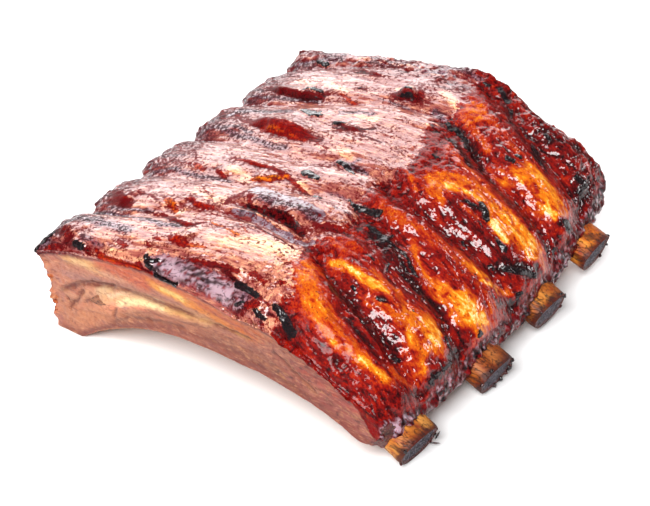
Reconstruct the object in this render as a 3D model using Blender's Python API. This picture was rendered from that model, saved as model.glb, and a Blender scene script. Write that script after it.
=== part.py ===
"""Quarter rack of barbecued pork ribs: one arched slab of glazed meat with four rib bones
running through it, standing meat side up on its left heel and on the sawn bone ends.

Row frame: metres, +Z up, origin at the bottom centre of the whole piece. +X runs along
the ribs towards the sawn bone ends, +Y runs across the ribs away from the cut face that
shows the first bone. The shape functions below work in millimetres.
"""

import math

import bmesh
import bpy
import mathutils
import numpy as np

MM = 0.001

# ---- overall sizes, millimetres --------------------------------------------------------
NEAR_Y, FAR_Y = -59.8, 65.0          # the two cut faces, across the ribs
LEFT_X, RIGHT_X = -58.5, 57.6        # heel end and belly end of the meat
TOP_CREST_X, TOP_CREST_Z = 6.0, 40.4  # crest of the arched back
TOP_R_LEFT, TOP_R_RIGHT = 155.0, 76.0
NEAR_ROLL, FAR_ROLL = 15.0, 7.0      # how wide the top rolls over at the two cut faces
# height of the top edge along the near and the far cut face: (x, z)
NEAR_EDGE = (
    [-60, -54, -43, -34, -20, -10, 0, 11, 20, 30, 37, 45, 51, 59],
    [22.5, 25.2, 28.8, 31.0, 33.0, 32.6, 32.0, 30.4, 30.0, 28.2, 25.6, 21.6, 19.2, 16.5],
)
FAR_EDGE = (
    [-60, -50, -42, -35, -27, -20, -13, -6, 1, 6, 12, 18.5, 22, 25.6, 29.3, 36, 43, 47, 54],
    [27, 30, 30.6, 32, 34.3, 36.2, 37.6, 39.2, 41.2, 42.2, 41.6, 40.2, 38.2, 34.8, 32, 30.6, 28.6, 26.5, 19],
)
# profile of the hollow underside, under the ribs and along the near cut face: (x, z);
# flat on the floor at the heel
UNDER = (
    [-60, -43, -36, -28.5, -21, -14, -7, 0, 13, 25.7, 38, 50, 58],
    [0, 0, 4.9, 8.9, 11.8, 13.8, 14.8, 15.2, 14.9, 13.0, 9.8, 6.2, 4.2],
)
UNDER_NEAR = (
    [-60, -43, -36, -28.5, -21, -14, -7, 0, 13, 19.3, 25.7, 32, 38.3, 44.5, 50.5, 58],
    [0, 0, 4.9, 9.1, 12.3, 14.4, 15.5, 15.9, 15.9, 15.8, 15.0, 14.0, 12.6, 10.7, 8.2, 9.5],
)
HEEL_X0, HEEL_X1 = -52.5, -43.0      # flat strip of the heel that the rack stands on
# how far the heel end leans in below its top edge: (height fraction, distance)
HEEL_LEAN = ([0, 0.25, 0.5, 0.75, 1], [6.5, 5.6, 4.9, 3.4, 0.0])
BELLY_SWEEP = 8.0                    # how much shorter the belly end is at the far side
BELLY_BULGE = 1.8                    # how far the belly end bulges at mid height

# ---- grooves between the long muscle ridges: (x, y) along each, then depth --------------
GROOVE_HALF_WIDTH = 5.2
GROOVES = [
    ([-60, -45, -28, -14, 0, 15, 36, 50, 60], [-38, -42, -41, -36, -32, -33, -39, -43, -44]),
    ([-60, -32, -16, 0, 15, 31, 48, 60], [-17, -20, -19, -16, -10.5, -13, -19.6, -25]),
    ([-60, -33, -14, 4, 30, 60], [7, 2.6, -1, 2, 1.5, 3]),
    ([-60, -32, -12, 4, 20, 35, 51, 60], [31, 28.5, 35, 39.5, 37, 29, 28, 22]),
    ([-60, -28, 6, 24, 38, 60], [53, 56, 61, 58, 51, 46]),
]
GROOVE_DEPTH = ([-60, -40, -15, 8, 30, 60], [3.4, 2.0, 1.1, 1.2, 2.6, 2.2])

# ---- rib bones -------------------------------------------------------------------------
BONE_END_X = [61.6, 63.3, 61.4, 58.9]      # sawn ends, near to far
BONE_Y = [                                  # plan path of each bone: (x, y)
    ([-46, -36, -28, -20, -10, 0, 15, 30, 45, 70], [-52.0, -53.8, -54.2, -53.6, -53.0, -52.8, -52.0, -49.9, -48.4, -49.8]),
    ([-46, 0, 45, 70], [-21.0, -16.3, -13.4, -14.6]),
    ([-46, 0, 45, 70], [8.0, 13.6, 17.9, 16.8]),
    ([-46, 0, 45, 70], [37.0, 43.4, 47.4, 47.7]),
]
BONE_Z = [                                  # height of each bone's centre line: (x, z)
    ([-46, -36, -28, -20, -10, 0, 15, 30, 45, 61.6, 70], [9.8, 14.6, 17.9, 20.1, 21.6, 22.2, 21.2, 17.7, 12.1, 4.9, 1.2]),
    ([-46, -38, -30, -17, 0, 15, 30, 45, 63.3, 72], [9.4, 12.4, 15.2, 18.7, 20.6, 20.0, 17.2, 12.6, 5.6, 2.0]),
    ([-46, -38, -30, -17, 0, 15, 30, 45, 61.4, 70], [9.4, 12.4, 15.2, 18.7, 20.6, 20.0, 17.2, 12.8, 6.6, 3.0]),
    ([-46, -38, -30, -17, 0, 15, 30, 45, 58.9, 70], [9.4, 12.4, 15.2, 18.7, 20.6, 20.0, 17.2, 12.8, 7.6, 3.4]),
]
BONE_HALF_WIDTH = [7.4, 7.1, 7.2, 7.1]
BONE_HALF_THICK = [5.1, 4.95, 4.9, 4.95]
BONE_COVER = 1.4                            # meat left under a bone, thinning to none at the belly end
SAW_SETBACK = math.tan(math.radians(9.0))   # the sawn end leans back over the top of the bone
BONE_START_X = -45.0
CLEARANCE = 0.32
BONE_SIDES, BONE_RINGS = 14, 15

# ---- mesh density ----------------------------------------------------------------------
CELLS_X, CELLS_Y, CELLS_Z = 35, 39, 4
EDGE_DENSITY = 0.3                   # cells shrink by this share towards the rims


def spline(x, xs, ys):
    """Smooth curve through the points (xs, ys), read at x."""
    xs, ys = np.asarray(xs, float), np.asarray(ys, float)
    x = np.clip(np.asarray(x, float), xs[0], xs[-1])
    slope = np.gradient(ys, xs)
    k = np.clip(np.searchsorted(xs, x, side="right") - 1, 0, len(xs) - 2)
    h = xs[k + 1] - xs[k]
    t = (x - xs[k]) / h
    return (
        (2 * t**3 - 3 * t**2 + 1) * ys[k]
        + (t**3 - 2 * t**2 + t) * h * slope[k]
        + (3 * t**2 - 2 * t**3) * ys[k + 1]
        + (t**3 - t**2) * h * slope[k + 1]
    )


def arc(x, crest_x, crest_z, r_left, r_right):
    dx = np.asarray(x, float) - crest_x
    r = np.where(dx < 0, r_left, r_right)
    dx = np.clip(dx, -0.96 * r, 0.96 * r)
    return crest_z - (r - np.sqrt(r * r - dx * dx))


def bump(t):
    """1 at t = 0, falling smoothly to 0 at |t| = 2."""
    return np.exp(-1.6 * np.square(t))


def groove_field(x, y):
    """Depth of the grooves at a point of the top."""
    depth = spline(x, *GROOVE_DEPTH)
    total = 0.0
    for xs, ys in GROOVES:
        total = total + bump((y - spline(x, xs, ys)) / GROOVE_HALF_WIDTH)
    return depth * np.minimum(total, 1.0)


def top_z(x, y):
    z = arc(x, TOP_CREST_X, TOP_CREST_Z, TOP_R_LEFT, TOP_R_RIGHT) + 0.8
    z = z - groove_field(x, y)
    # ends roll over
    e = np.clip((x - LEFT_X) / 8.0, 0, 1)
    z = z - 3.5 * (1 - np.sqrt(1 - np.square(1 - e) * 0.97))
    b = np.clip((belly_x(y) - x) / 8.0, 0, 1)
    z = z - 4.0 * (1 - np.sqrt(1 - np.square(1 - b) * 0.97))
    # cut faces: the top comes down to the edge heights
    s = np.clip((y - NEAR_Y) / NEAR_ROLL, 0, 1)
    near = spline(x, *NEAR_EDGE)
    z = near + (z - near) * np.sqrt(1 - np.square(1 - s))
    f = np.clip((FAR_Y - y) / FAR_ROLL, 0, 1)
    far = spline(x, *FAR_EDGE)
    return far + (z - far) * np.sqrt(1 - np.square(1 - f))


def belly_x(y):
    sweep = BELLY_SWEEP * np.square(np.clip((y + 8.0) / (FAR_Y + 8.0), 0, 1))
    return RIGHT_X - sweep - 3.0 * np.square(np.clip((NEAR_Y + 12.0 - y) / 12.0, 0, 1))


def heel_x(y):
    notch = sum(bump((y - spline(-60.0, xs, ys)) / 4.0) for xs, ys in GROOVES)
    return LEFT_X + 3.4 * np.minimum(notch, 1.0)


def bone_y(i, x):
    return spline(x, *BONE_Y[i])


def bone_z(i, x):
    return spline(x, *BONE_Z[i])


def swell(x):
    """Bones are thickest at the heel and at the sawn end and a little waisted between."""
    return spline(x, [-46, -30, -5, 35, 64], [1.12, 1.04, 0.92, 0.95, 1.0])


def under_z(x, y):
    inner, outer = spline(x, *UNDER), spline(x, *UNDER_NEAR)
    z = inner + (outer - inner) * np.square(np.clip(1 - (y - NEAR_Y) / 12.0, 0, 1))
    cover = BONE_COVER - 3.4 * np.square(np.clip((x - 42.0) / 14.0, 0, 1))
    for i in range(len(BONE_Y)):
        across = (y - bone_y(i, x)) / (BONE_HALF_WIDTH[i] * swell(x) + 2.0)
        ridge = bone_z(i, x) - (BONE_HALF_THICK[i] * swell(x) + cover) * np.sqrt(
            np.clip(1 - np.square(across), 0, 1)
        )
        z = np.where(x > -34.0, np.minimum(z, ridge), z)
    return np.maximum(z, 0.0)


def slab_point(u, v, w):
    """Maps the unit cube to the slab: u heel to belly, v near to far, w under to top."""
    u = u - EDGE_DENSITY * np.sin(2 * np.pi * u) / (2 * np.pi)
    v = v - EDGE_DENSITY * np.sin(2 * np.pi * v) / (2 * np.pi)
    y = NEAR_Y + (FAR_Y - NEAR_Y) * v
    x0 = heel_x(y) + spline(w, *HEEL_LEAN)
    x1 = belly_x(y) + BELLY_BULGE * np.sin(np.pi * w) - 1.0 * (1 - w)
    x = x0 + (x1 - x0) * u
    # the near cut face is a little hollow, the far one a little full
    side = np.sin(np.pi * w)
    y = y + (0.7 * (1 - v) ** 10 + 1.0 * v**10) * side
    lo = under_z(x, y)
    hi = np.maximum(top_z(x, y), lo + 5.0)
    z = lo + (hi - lo) * w
    foot = (x > HEEL_X0) & (x < HEEL_X1) & (w < 1e-6)
    return x, y, np.where(foot, 0.0, z)


def grid_cube(name):
    """A cube primitive cut into CELLS_X x CELLS_Y x CELLS_Z surface cells."""
    mesh = bpy.data.meshes.new(name)
    bm = bmesh.new()
    bmesh.ops.create_cube(bm, size=1.0)
    for axis, cells in enumerate((CELLS_X, CELLS_Y, CELLS_Z)):
        for i in range(1, cells):
            place = [0.0, 0.0, 0.0]
            normal = [0.0, 0.0, 0.0]
            place[axis] = i / cells - 0.5
            normal[axis] = 1.0
            bmesh.ops.bisect_plane(
                bm,
                geom=bm.verts[:] + bm.edges[:] + bm.faces[:],
                plane_co=place,
                plane_no=normal,
                dist=1e-6,
            )
    bm.to_mesh(mesh)
    bm.free()
    return mesh


def material(name, colour, roughness):
    made = bpy.data.materials.new(name)
    made.use_nodes = True
    shader = made.node_tree.nodes["Principled BSDF"]
    shader.inputs["Base Color"].default_value = (*colour, 1.0)
    shader.inputs["Roughness"].default_value = roughness
    shader.inputs["Metallic"].default_value = 0.0
    return made


def make_slab(collection):
    mesh = grid_cube("meat")
    co = np.empty(len(mesh.vertices) * 3)
    mesh.vertices.foreach_get("co", co)
    unit = np.clip(np.round(co.reshape(-1, 3) + 0.5, 6), 0, 1)
    x, y, z = slab_point(unit[:, 0], unit[:, 1], unit[:, 2])
    mesh.vertices.foreach_set("co", (np.stack([x, y, z], 1) * MM).ravel())
    mesh.shade_smooth()
    mesh.update()
    obj = bpy.data.objects.new("meat", mesh)
    collection.objects.link(obj)
    return obj


def bone_path(i):
    xs = np.linspace(BONE_START_X, BONE_END_X[i], BONE_RINGS)
    return np.stack([xs, bone_y(i, xs), bone_z(i, xs)], 1)


def tube_mesh(name, points, half_width, half_thick, extra, setback):
    """An oval bar along points: a poly curve bevelled with an ellipse, made a closed mesh."""
    section = bpy.data.curves.new(name + "_section", "CURVE")
    section.dimensions = "2D"
    ring = section.splines.new("POLY")
    ring.points.add(BONE_SIDES - 1)
    for k in range(BONE_SIDES):
        a = 2 * math.pi * k / BONE_SIDES
        ring.points[k].co = (
            (half_width + extra) * MM * math.cos(a),
            (half_thick + extra) * MM * math.sin(a),
            0.0,
            1.0,
        )
    ring.use_cyclic_u = True
    section_object = bpy.data.objects.new(name + "_section", section)
    bpy.context.scene.collection.objects.link(section_object)

    curve = bpy.data.curves.new(name + "_path", "CURVE")
    curve.dimensions = "3D"
    curve.twist_mode = "Z_UP"
    line = curve.splines.new("POLY")
    line.points.add(len(points) - 1)
    for point, place in zip(line.points, points):
        point.co = (*(place * MM), 1.0)
        point.radius = float(swell(place[0]))
    curve.bevel_mode = "OBJECT"
    curve.bevel_object = section_object
    curve.use_fill_caps = True
    path_object = bpy.data.objects.new(name + "_path", curve)
    bpy.context.scene.collection.objects.link(path_object)

    bpy.context.view_layer.update()
    graph = bpy.context.evaluated_depsgraph_get()
    mesh = bpy.data.meshes.new_from_object(path_object.evaluated_get(graph))
    mesh.name = name
    bm = bmesh.new()
    bm.from_mesh(mesh)
    bmesh.ops.remove_doubles(bm, verts=bm.verts[:], dist=1e-6)
    bmesh.ops.recalc_face_normals(bm, faces=bm.faces[:])
    end, ahead = points[-1], points[-1] - points[-2]
    ahead = ahead / np.linalg.norm(ahead)
    for vert in bm.verts:
        off = np.array(vert.co) / MM - end
        if abs(off @ ahead) < 1.0:
            vert.co = vert.co - mathutils.Vector(ahead * (setback * off[2] * MM))
    bm.to_mesh(mesh)
    bm.free()
    bpy.data.objects.remove(path_object)
    bpy.data.objects.remove(section_object)
    mesh.shade_smooth()
    mesh.set_sharp_from_angle(angle=math.radians(50))
    return mesh


def main():
    for old in list(bpy.data.objects):
        bpy.data.objects.remove(old)
    parts = bpy.data.collections.new("rack_of_ribs")
    cutters = bpy.data.collections.new("cutters")
    bpy.context.scene.collection.children.link(parts)
    bpy.context.scene.collection.children.link(cutters)

    meat_look = material("glazed_meat", (0.30, 0.035, 0.012), 0.22)
    bone_look = material("toasted_bone", (0.62, 0.34, 0.11), 0.45)

    meat = make_slab(parts)
    meat.data.materials.append(meat_look)
    made = [meat]
    for i in range(len(BONE_END_X)):
        name = f"bone_{i + 1}"
        half_w, half_t = BONE_HALF_WIDTH[i], BONE_HALF_THICK[i]
        bone = bpy.data.objects.new(
            name, tube_mesh(name, bone_path(i), half_w, half_t, 0.0, SAW_SETBACK)
        )
        bone.data.materials.append(bone_look)
        parts.objects.link(bone)
        made.append(bone)

        path = bone_path(i)
        back = path[0] - path[1]
        ahead = path[-1] - path[-2]
        path[0] += back / np.linalg.norm(back) * CLEARANCE
        path = np.vstack([path, path[-1] + ahead / np.linalg.norm(ahead) * 8.0])
        cutter = bpy.data.objects.new(
            name + "_socket", tube_mesh(name + "_socket", path, half_w, half_t, CLEARANCE, 0.0)
        )
        cutter.hide_render = True
        cutter.display_type = "WIRE"
        cutters.objects.link(cutter)
        cut = meat.modifiers.new(name + "_socket", "BOOLEAN")
        cut.operation = "DIFFERENCE"
        cut.object = cutter
        made.append(cutter)

    # stand the rack on the floor with its origin at the bottom centre
    bpy.context.view_layer.update()
    graph = bpy.context.evaluated_depsgraph_get()
    corners = []
    for obj in made:
        if obj.hide_render:
            continue
        shape = obj.evaluated_get(graph).to_mesh()
        co = np.empty(len(shape.vertices) * 3)
        shape.vertices.foreach_get("co", co)
        corners.append(co.reshape(-1, 3))
        print(obj.name, "low", co.reshape(-1, 3).min(0) * 1000, "high", co.reshape(-1, 3).max(0) * 1000)
    points = np.vstack(corners)
    low, high = points.min(0), points.max(0)
    shift = (-(low[0] + high[0]) / 2, -(low[1] + high[1]) / 2, -low[2])
    print("shift mm", [round(float(s) * 1000, 3) for s in shift])
    for obj in made:
        obj.location = shift


main()
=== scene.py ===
import math

import bmesh
import bpy
import numpy as np
from mathutils import Matrix, Vector, geometry


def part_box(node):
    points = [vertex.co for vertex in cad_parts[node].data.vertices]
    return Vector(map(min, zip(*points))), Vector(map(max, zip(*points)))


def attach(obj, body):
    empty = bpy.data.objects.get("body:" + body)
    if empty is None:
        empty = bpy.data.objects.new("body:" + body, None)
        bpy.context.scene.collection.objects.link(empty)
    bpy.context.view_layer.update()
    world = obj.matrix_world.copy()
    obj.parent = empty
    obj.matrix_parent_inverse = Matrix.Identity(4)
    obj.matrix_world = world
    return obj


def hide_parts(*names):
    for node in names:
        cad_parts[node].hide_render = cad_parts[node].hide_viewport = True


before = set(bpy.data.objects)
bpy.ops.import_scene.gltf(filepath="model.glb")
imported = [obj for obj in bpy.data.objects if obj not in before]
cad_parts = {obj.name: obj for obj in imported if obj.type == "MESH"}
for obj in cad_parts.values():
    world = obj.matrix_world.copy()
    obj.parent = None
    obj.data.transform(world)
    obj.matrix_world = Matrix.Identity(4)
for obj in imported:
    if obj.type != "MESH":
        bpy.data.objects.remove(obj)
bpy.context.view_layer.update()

MM = 0.001
RNG = np.random.default_rng(7)

# =========================================================================================
# shape functions of the slab, in millimetres, in the frame the slab was drawn in
# =========================================================================================
NEAR_Y, FAR_Y = -59.8, 65.0
LEFT_X, RIGHT_X = -58.5, 57.6
TOP_CREST_X, TOP_CREST_Z = 6.0, 40.4
TOP_R_LEFT, TOP_R_RIGHT = 155.0, 76.0
NEAR_ROLL, FAR_ROLL = 15.0, 7.0
NEAR_EDGE = (
    [-60, -54, -43, -34, -20, -10, 0, 11, 20, 30, 37, 45, 51, 59],
    [22.5, 25.2, 28.8, 31.0, 33.0, 32.6, 32.0, 30.4, 30.0, 28.2, 25.6, 21.6, 19.2, 16.5],
)
FAR_EDGE = (
    [-60, -50, -42, -35, -27, -20, -13, -6, 1, 6, 12, 18.5, 22, 25.6, 29.3, 36, 43, 47, 54],
    [27, 30, 30.6, 32, 34.3, 36.2, 37.6, 39.2, 41.2, 42.2, 41.6, 40.2, 38.2, 34.8, 32, 30.6, 28.6, 26.5, 19],
)
UNDER = (
    [-60, -43, -36, -28.5, -21, -14, -7, 0, 13, 25.7, 38, 50, 58],
    [0, 0, 4.9, 8.9, 11.8, 13.8, 14.8, 15.2, 14.9, 13.0, 9.8, 6.2, 4.2],
)
UNDER_NEAR = (
    [-60, -43, -36, -28.5, -21, -14, -7, 0, 13, 19.3, 25.7, 32, 38.3, 44.5, 50.5, 58],
    [0, 0, 4.9, 9.1, 12.3, 14.4, 15.5, 15.9, 15.9, 15.8, 15.0, 14.0, 12.6, 10.7, 8.2, 9.5],
)
HEEL_X0, HEEL_X1 = -52.5, -43.0
HEEL_LEAN = ([0, 0.25, 0.5, 0.75, 1], [6.5, 5.6, 4.9, 3.4, 0.0])
BELLY_SWEEP, BELLY_BULGE = 8.0, 1.8
GROOVE_HALF_WIDTH = 5.2
GROOVES = [
    ([-60, -45, -28, -14, 0, 15, 36, 50, 60], [-38, -42, -41, -36, -32, -33, -39, -43, -44]),
    ([-60, -32, -16, 0, 15, 31, 48, 60], [-17, -20, -19, -16, -10.5, -13, -19.6, -25]),
    ([-60, -33, -14, 4, 30, 60], [7, 2.6, -1, 2, 1.5, 3]),
    ([-60, -32, -12, 4, 20, 35, 51, 60], [31, 28.5, 35, 39.5, 37, 29, 28, 22]),
    ([-60, -28, 6, 24, 38, 60], [53, 56, 61, 58, 51, 46]),
]
GROOVE_DEPTH = ([-60, -40, -15, 8, 30, 60], [3.4, 2.0, 1.1, 1.2, 2.6, 2.2])

BONE_END_X = [61.6, 63.3, 61.4, 58.9]
BONE_Y = [
    ([-46, -36, -28, -20, -10, 0, 15, 30, 45, 70], [-52.0, -53.8, -54.2, -53.6, -53.0, -52.8, -52.0, -49.9, -48.4, -49.8]),
    ([-46, 0, 45, 70], [-21.0, -16.3, -13.4, -14.6]),
    ([-46, 0, 45, 70], [8.0, 13.6, 17.9, 16.8]),
    ([-46, 0, 45, 70], [37.0, 43.4, 47.4, 47.7]),
]
BONE_Z = [
    ([-46, -36, -28, -20, -10, 0, 15, 30, 45, 61.6, 70], [9.8, 14.6, 17.9, 20.1, 21.6, 22.2, 21.2, 17.7, 12.1, 4.9, 1.2]),
    ([-46, -38, -30, -17, 0, 15, 30, 45, 63.3, 72], [9.4, 12.4, 15.2, 18.7, 20.6, 20.0, 17.2, 12.6, 5.6, 2.0]),
    ([-46, -38, -30, -17, 0, 15, 30, 45, 61.4, 70], [9.4, 12.4, 15.2, 18.7, 20.6, 20.0, 17.2, 12.8, 6.6, 3.0]),
    ([-46, -38, -30, -17, 0, 15, 30, 45, 58.9, 70], [9.4, 12.4, 15.2, 18.7, 20.6, 20.0, 17.2, 12.8, 7.6, 3.4]),
]
BONE_HALF_WIDTH = [7.4, 7.1, 7.2, 7.1]
BONE_HALF_THICK = [5.1, 4.95, 4.9, 4.95]
BONE_COVER = 1.4
SAW_SETBACK = math.tan(math.radians(9.0))


def spline(x, xs, ys):
    """Smooth curve through the points (xs, ys), read at x."""
    xs, ys = np.asarray(xs, float), np.asarray(ys, float)
    x = np.clip(np.asarray(x, float), xs[0], xs[-1])
    slope = np.gradient(ys, xs)
    k = np.clip(np.searchsorted(xs, x, side="right") - 1, 0, len(xs) - 2)
    h = xs[k + 1] - xs[k]
    t = (x - xs[k]) / h
    return (
        (2 * t**3 - 3 * t**2 + 1) * ys[k]
        + (t**3 - 2 * t**2 + t) * h * slope[k]
        + (3 * t**2 - 2 * t**3) * ys[k + 1]
        + (t**3 - t**2) * h * slope[k + 1]
    )


def arc(x, crest_x, crest_z, r_left, r_right):
    dx = np.asarray(x, float) - crest_x
    r = np.where(dx < 0, r_left, r_right)
    dx = np.clip(dx, -0.96 * r, 0.96 * r)
    return crest_z - (r - np.sqrt(r * r - dx * dx))


def bump(t):
    return np.exp(-1.6 * np.square(t))


def groove_field(x, y):
    total = 0.0
    for xs, ys in GROOVES:
        total = total + bump((y - spline(x, xs, ys)) / GROOVE_HALF_WIDTH)
    return spline(x, *GROOVE_DEPTH) * np.minimum(total, 1.0)


def top_z(x, y):
    z = arc(x, TOP_CREST_X, TOP_CREST_Z, TOP_R_LEFT, TOP_R_RIGHT) + 0.8
    z = z - groove_field(x, y)
    e = np.clip((x - LEFT_X) / 8.0, 0, 1)
    z = z - 3.5 * (1 - np.sqrt(1 - np.square(1 - e) * 0.97))
    b = np.clip((belly_x(y) - x) / 8.0, 0, 1)
    z = z - 4.0 * (1 - np.sqrt(1 - np.square(1 - b) * 0.97))
    s = np.clip((y - NEAR_Y) / NEAR_ROLL, 0, 1)
    near = spline(x, *NEAR_EDGE)
    z = near + (z - near) * np.sqrt(1 - np.square(1 - s))
    f = np.clip((FAR_Y - y) / FAR_ROLL, 0, 1)
    far = spline(x, *FAR_EDGE)
    return far + (z - far) * np.sqrt(1 - np.square(1 - f))


def belly_x(y):
    sweep = BELLY_SWEEP * np.square(np.clip((y + 8.0) / (FAR_Y + 8.0), 0, 1))
    return RIGHT_X - sweep - 3.0 * np.square(np.clip((NEAR_Y + 12.0 - y) / 12.0, 0, 1))


def heel_x(y):
    notch = sum(bump((y - spline(-60.0, xs, ys)) / 4.0) for xs, ys in GROOVES)
    return LEFT_X + 3.4 * np.minimum(notch, 1.0)


def bone_y(i, x):
    return spline(x, *BONE_Y[i])


def bone_z(i, x):
    return spline(x, *BONE_Z[i])


def swell(x):
    return spline(x, [-46, -30, -5, 35, 64], [1.12, 1.04, 0.92, 0.95, 1.0])


def under_z(x, y):
    inner, outer = spline(x, *UNDER), spline(x, *UNDER_NEAR)
    z = inner + (outer - inner) * np.square(np.clip(1 - (y - NEAR_Y) / 12.0, 0, 1))
    cover = BONE_COVER - 3.4 * np.square(np.clip((x - 42.0) / 14.0, 0, 1))
    for i in range(len(BONE_Y)):
        across = (y - bone_y(i, x)) / (BONE_HALF_WIDTH[i] * swell(x) + 2.0)
        ridge = bone_z(i, x) - (BONE_HALF_THICK[i] * swell(x) + cover) * np.sqrt(
            np.clip(1 - np.square(across), 0, 1)
        )
        z = np.where(x > -34.0, np.minimum(z, ridge), z)
    return np.maximum(z, 0.0)


def slab_point(u, v, w):
    """Maps the unit cube to the slab: u heel to belly, v near to far, w under to top."""
    y = NEAR_Y + (FAR_Y - NEAR_Y) * v
    x0 = heel_x(y) + spline(w, *HEEL_LEAN)
    x1 = belly_x(y) + BELLY_BULGE * np.sin(np.pi * w) - 1.0 * (1 - w)
    x = x0 + (x1 - x0) * u
    side = np.sin(np.pi * w)
    y = y + (0.7 * (1 - v) ** 10 + 1.0 * v**10) * side
    lo = under_z(x, y)
    hi = np.maximum(top_z(x, y), lo + 5.0)
    z = lo + (hi - lo) * w
    foot = (x > HEEL_X0) & (x < HEEL_X1) & (w < 1e-6)
    return x, y, np.where(foot, 0.0, z)


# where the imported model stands
MEAT_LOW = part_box("meat")[0]
SHIFT = np.array([MEAT_LOW.x / MM - LEFT_X, MEAT_LOW.y / MM - NEAR_Y, 0.0])


# =========================================================================================
# noise and strokes
# =========================================================================================
_gr = np.random.default_rng(11).normal(size=(256, 3))
GRADS = _gr / np.linalg.norm(_gr, axis=1)[:, None]


def _corner(ix, iy, iz, seed):
    h = (ix * 73856093) ^ (iy * 19349663) ^ (iz * 83492791) ^ (seed * 40503 + 977)
    h = h & 0xFFFFFFFF
    h = ((h ^ (h >> 15)) * 2246822519) & 0xFFFFFFFF
    h = ((h ^ (h >> 13)) * 3266489917) & 0xFFFFFFFF
    return (h ^ (h >> 16)) & 255


def noise3(p, seed=0):
    """Gradient noise at points p (n, 3), about -1 to 1."""
    f = np.floor(p)
    i = f.astype(np.int64)
    t = p - f
    s = t * t * t * (t * (t * 6 - 15) + 10)
    out = np.zeros(len(p))
    for dx in (0, 1):
        wx = s[:, 0] if dx else 1 - s[:, 0]
        for dy in (0, 1):
            wy = s[:, 1] if dy else 1 - s[:, 1]
            for dz in (0, 1):
                wz = s[:, 2] if dz else 1 - s[:, 2]
                g = GRADS[_corner(i[:, 0] + dx, i[:, 1] + dy, i[:, 2] + dz, seed)]
                out += wx * wy * wz * (
                    g[:, 0] * (t[:, 0] - dx) + g[:, 1] * (t[:, 1] - dy) + g[:, 2] * (t[:, 2] - dz)
                )
    return out * 1.7


def fbm(p, octaves=3, seed=0, gain=0.5):
    total, amp, norm = 0.0, 1.0, 0.0
    for k in range(octaves):
        total = total + amp * noise3(p * (2.03**k), seed + 13 * k)
        norm += amp
        amp *= gain
    return total / norm


def nearest(p, cell, seed):
    """Distance, in cells, to the nearest of points strewn one to a cell."""
    q = p / cell
    f = np.floor(q).astype(np.int64)
    best = np.full(len(q), 9.0)
    for dx in (-1, 0, 1):
        for dy in (-1, 0, 1):
            for dz in (-1, 0, 1):
                c = f + np.array([dx, dy, dz])
                k = _corner(c[:, 0], c[:, 1], c[:, 2], seed)
                centre = c + 0.5 + 0.42 * GRADS[k]
                best = np.minimum(best, np.linalg.norm(q - centre, axis=1))
    return best


def smooth(a, b, x):
    t = np.clip((x - a) / (b - a), 0, 1)
    return t * t * (3 - 2 * t)


def along(x, y, pts):
    """Distance to a polyline, which side of it (+1 left of its direction), and the share of its length."""
    pts = np.asarray(pts, float)
    if len(pts) == 1:
        d = np.hypot(x - pts[0, 0], y - pts[0, 1])
        return d, np.ones_like(d), np.full_like(d, 0.5)
    seg = np.diff(pts, axis=0)
    length = np.hypot(seg[:, 0], seg[:, 1])
    start = np.concatenate([[0], np.cumsum(length)])
    best = np.full(x.shape, 1e9)
    side = np.ones(x.shape)
    share = np.zeros(x.shape)
    for k in range(len(seg)):
        dx, dy = x - pts[k, 0], y - pts[k, 1]
        t = np.clip((dx * seg[k, 0] + dy * seg[k, 1]) / (length[k] ** 2), 0, 1)
        ex, ey = dx - t * seg[k, 0], dy - t * seg[k, 1]
        d = np.hypot(ex, ey)
        near = d < best
        best = np.where(near, d, best)
        side = np.where(near, np.sign(seg[k, 0] * dy - seg[k, 1] * dx), side)
        share = np.where(near, (start[k] + t * length[k]) / start[-1], share)
    return best, side, share


def patch(x, y, strokes, soft=0.45):
    """Union of soft-edged strokes: each is (points, half width) or (points, half width, strength)."""
    out = np.zeros_like(x)
    for s in strokes:
        pts, half = s[0], s[1]
        k = s[2] if len(s) > 2 else 1.0
        d, _, _ = along(x, y, pts)
        out = np.maximum(out, k * (1 - smooth(half * (1 - soft), half * (1 + soft), d)))
    return out


def laid_one(p, pts, half, soft):
    """Soft-edged stroke given in plan but laid on the top, with distances taken in space."""
    pts = np.asarray(pts, float)
    half = max(half, 0.35)
    reach = half * (1 + soft)
    lo, hi = pts.min(0) - reach - 1, pts.max(0) + reach + 1
    inside = np.where((p[:, 0] > lo[0]) & (p[:, 0] < hi[0]) & (p[:, 1] > lo[1]) & (p[:, 1] < hi[1]))[0]
    if len(inside) == 0:
        return inside, np.zeros(0)
    fine = [pts[0]]
    for a, b in zip(pts[:-1], pts[1:]):
        n = max(1, int(np.ceil(np.hypot(*(b - a)) / 3.0)))
        fine += [a + (b - a) * (j + 1) / n for j in range(n)]
    fine = np.array(fine)
    fine[:, 1] = np.clip(fine[:, 1], NEAR_Y, FAR_Y)
    line = np.column_stack([fine, top_z(fine[:, 0], fine[:, 1])])
    q = p[inside]
    best = np.full(len(q), 1e9)
    if len(line) == 1:
        best = np.linalg.norm(q - line[0], axis=1)
    for a, b in zip(line[:-1], line[1:]):
        ab = b - a
        t = np.clip((q - a) @ ab / max(ab @ ab, 1e-9), 0, 1)
        best = np.minimum(best, np.linalg.norm(q - a - t[:, None] * ab, axis=1))
    return inside, 1 - smooth(half * (1 - soft), reach, best)


def laid(p, strokes, soft=0.45):
    """Union of strokes laid on the top: each is (points, half width) or (points, half width, strength)."""
    out = np.zeros(len(p))
    for s in strokes:
        inside, w = laid_one(p, s[0], s[1], soft)
        out[inside] = np.maximum(out[inside], (s[2] if len(s) > 2 else 1.0) * w)
    return out


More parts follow.
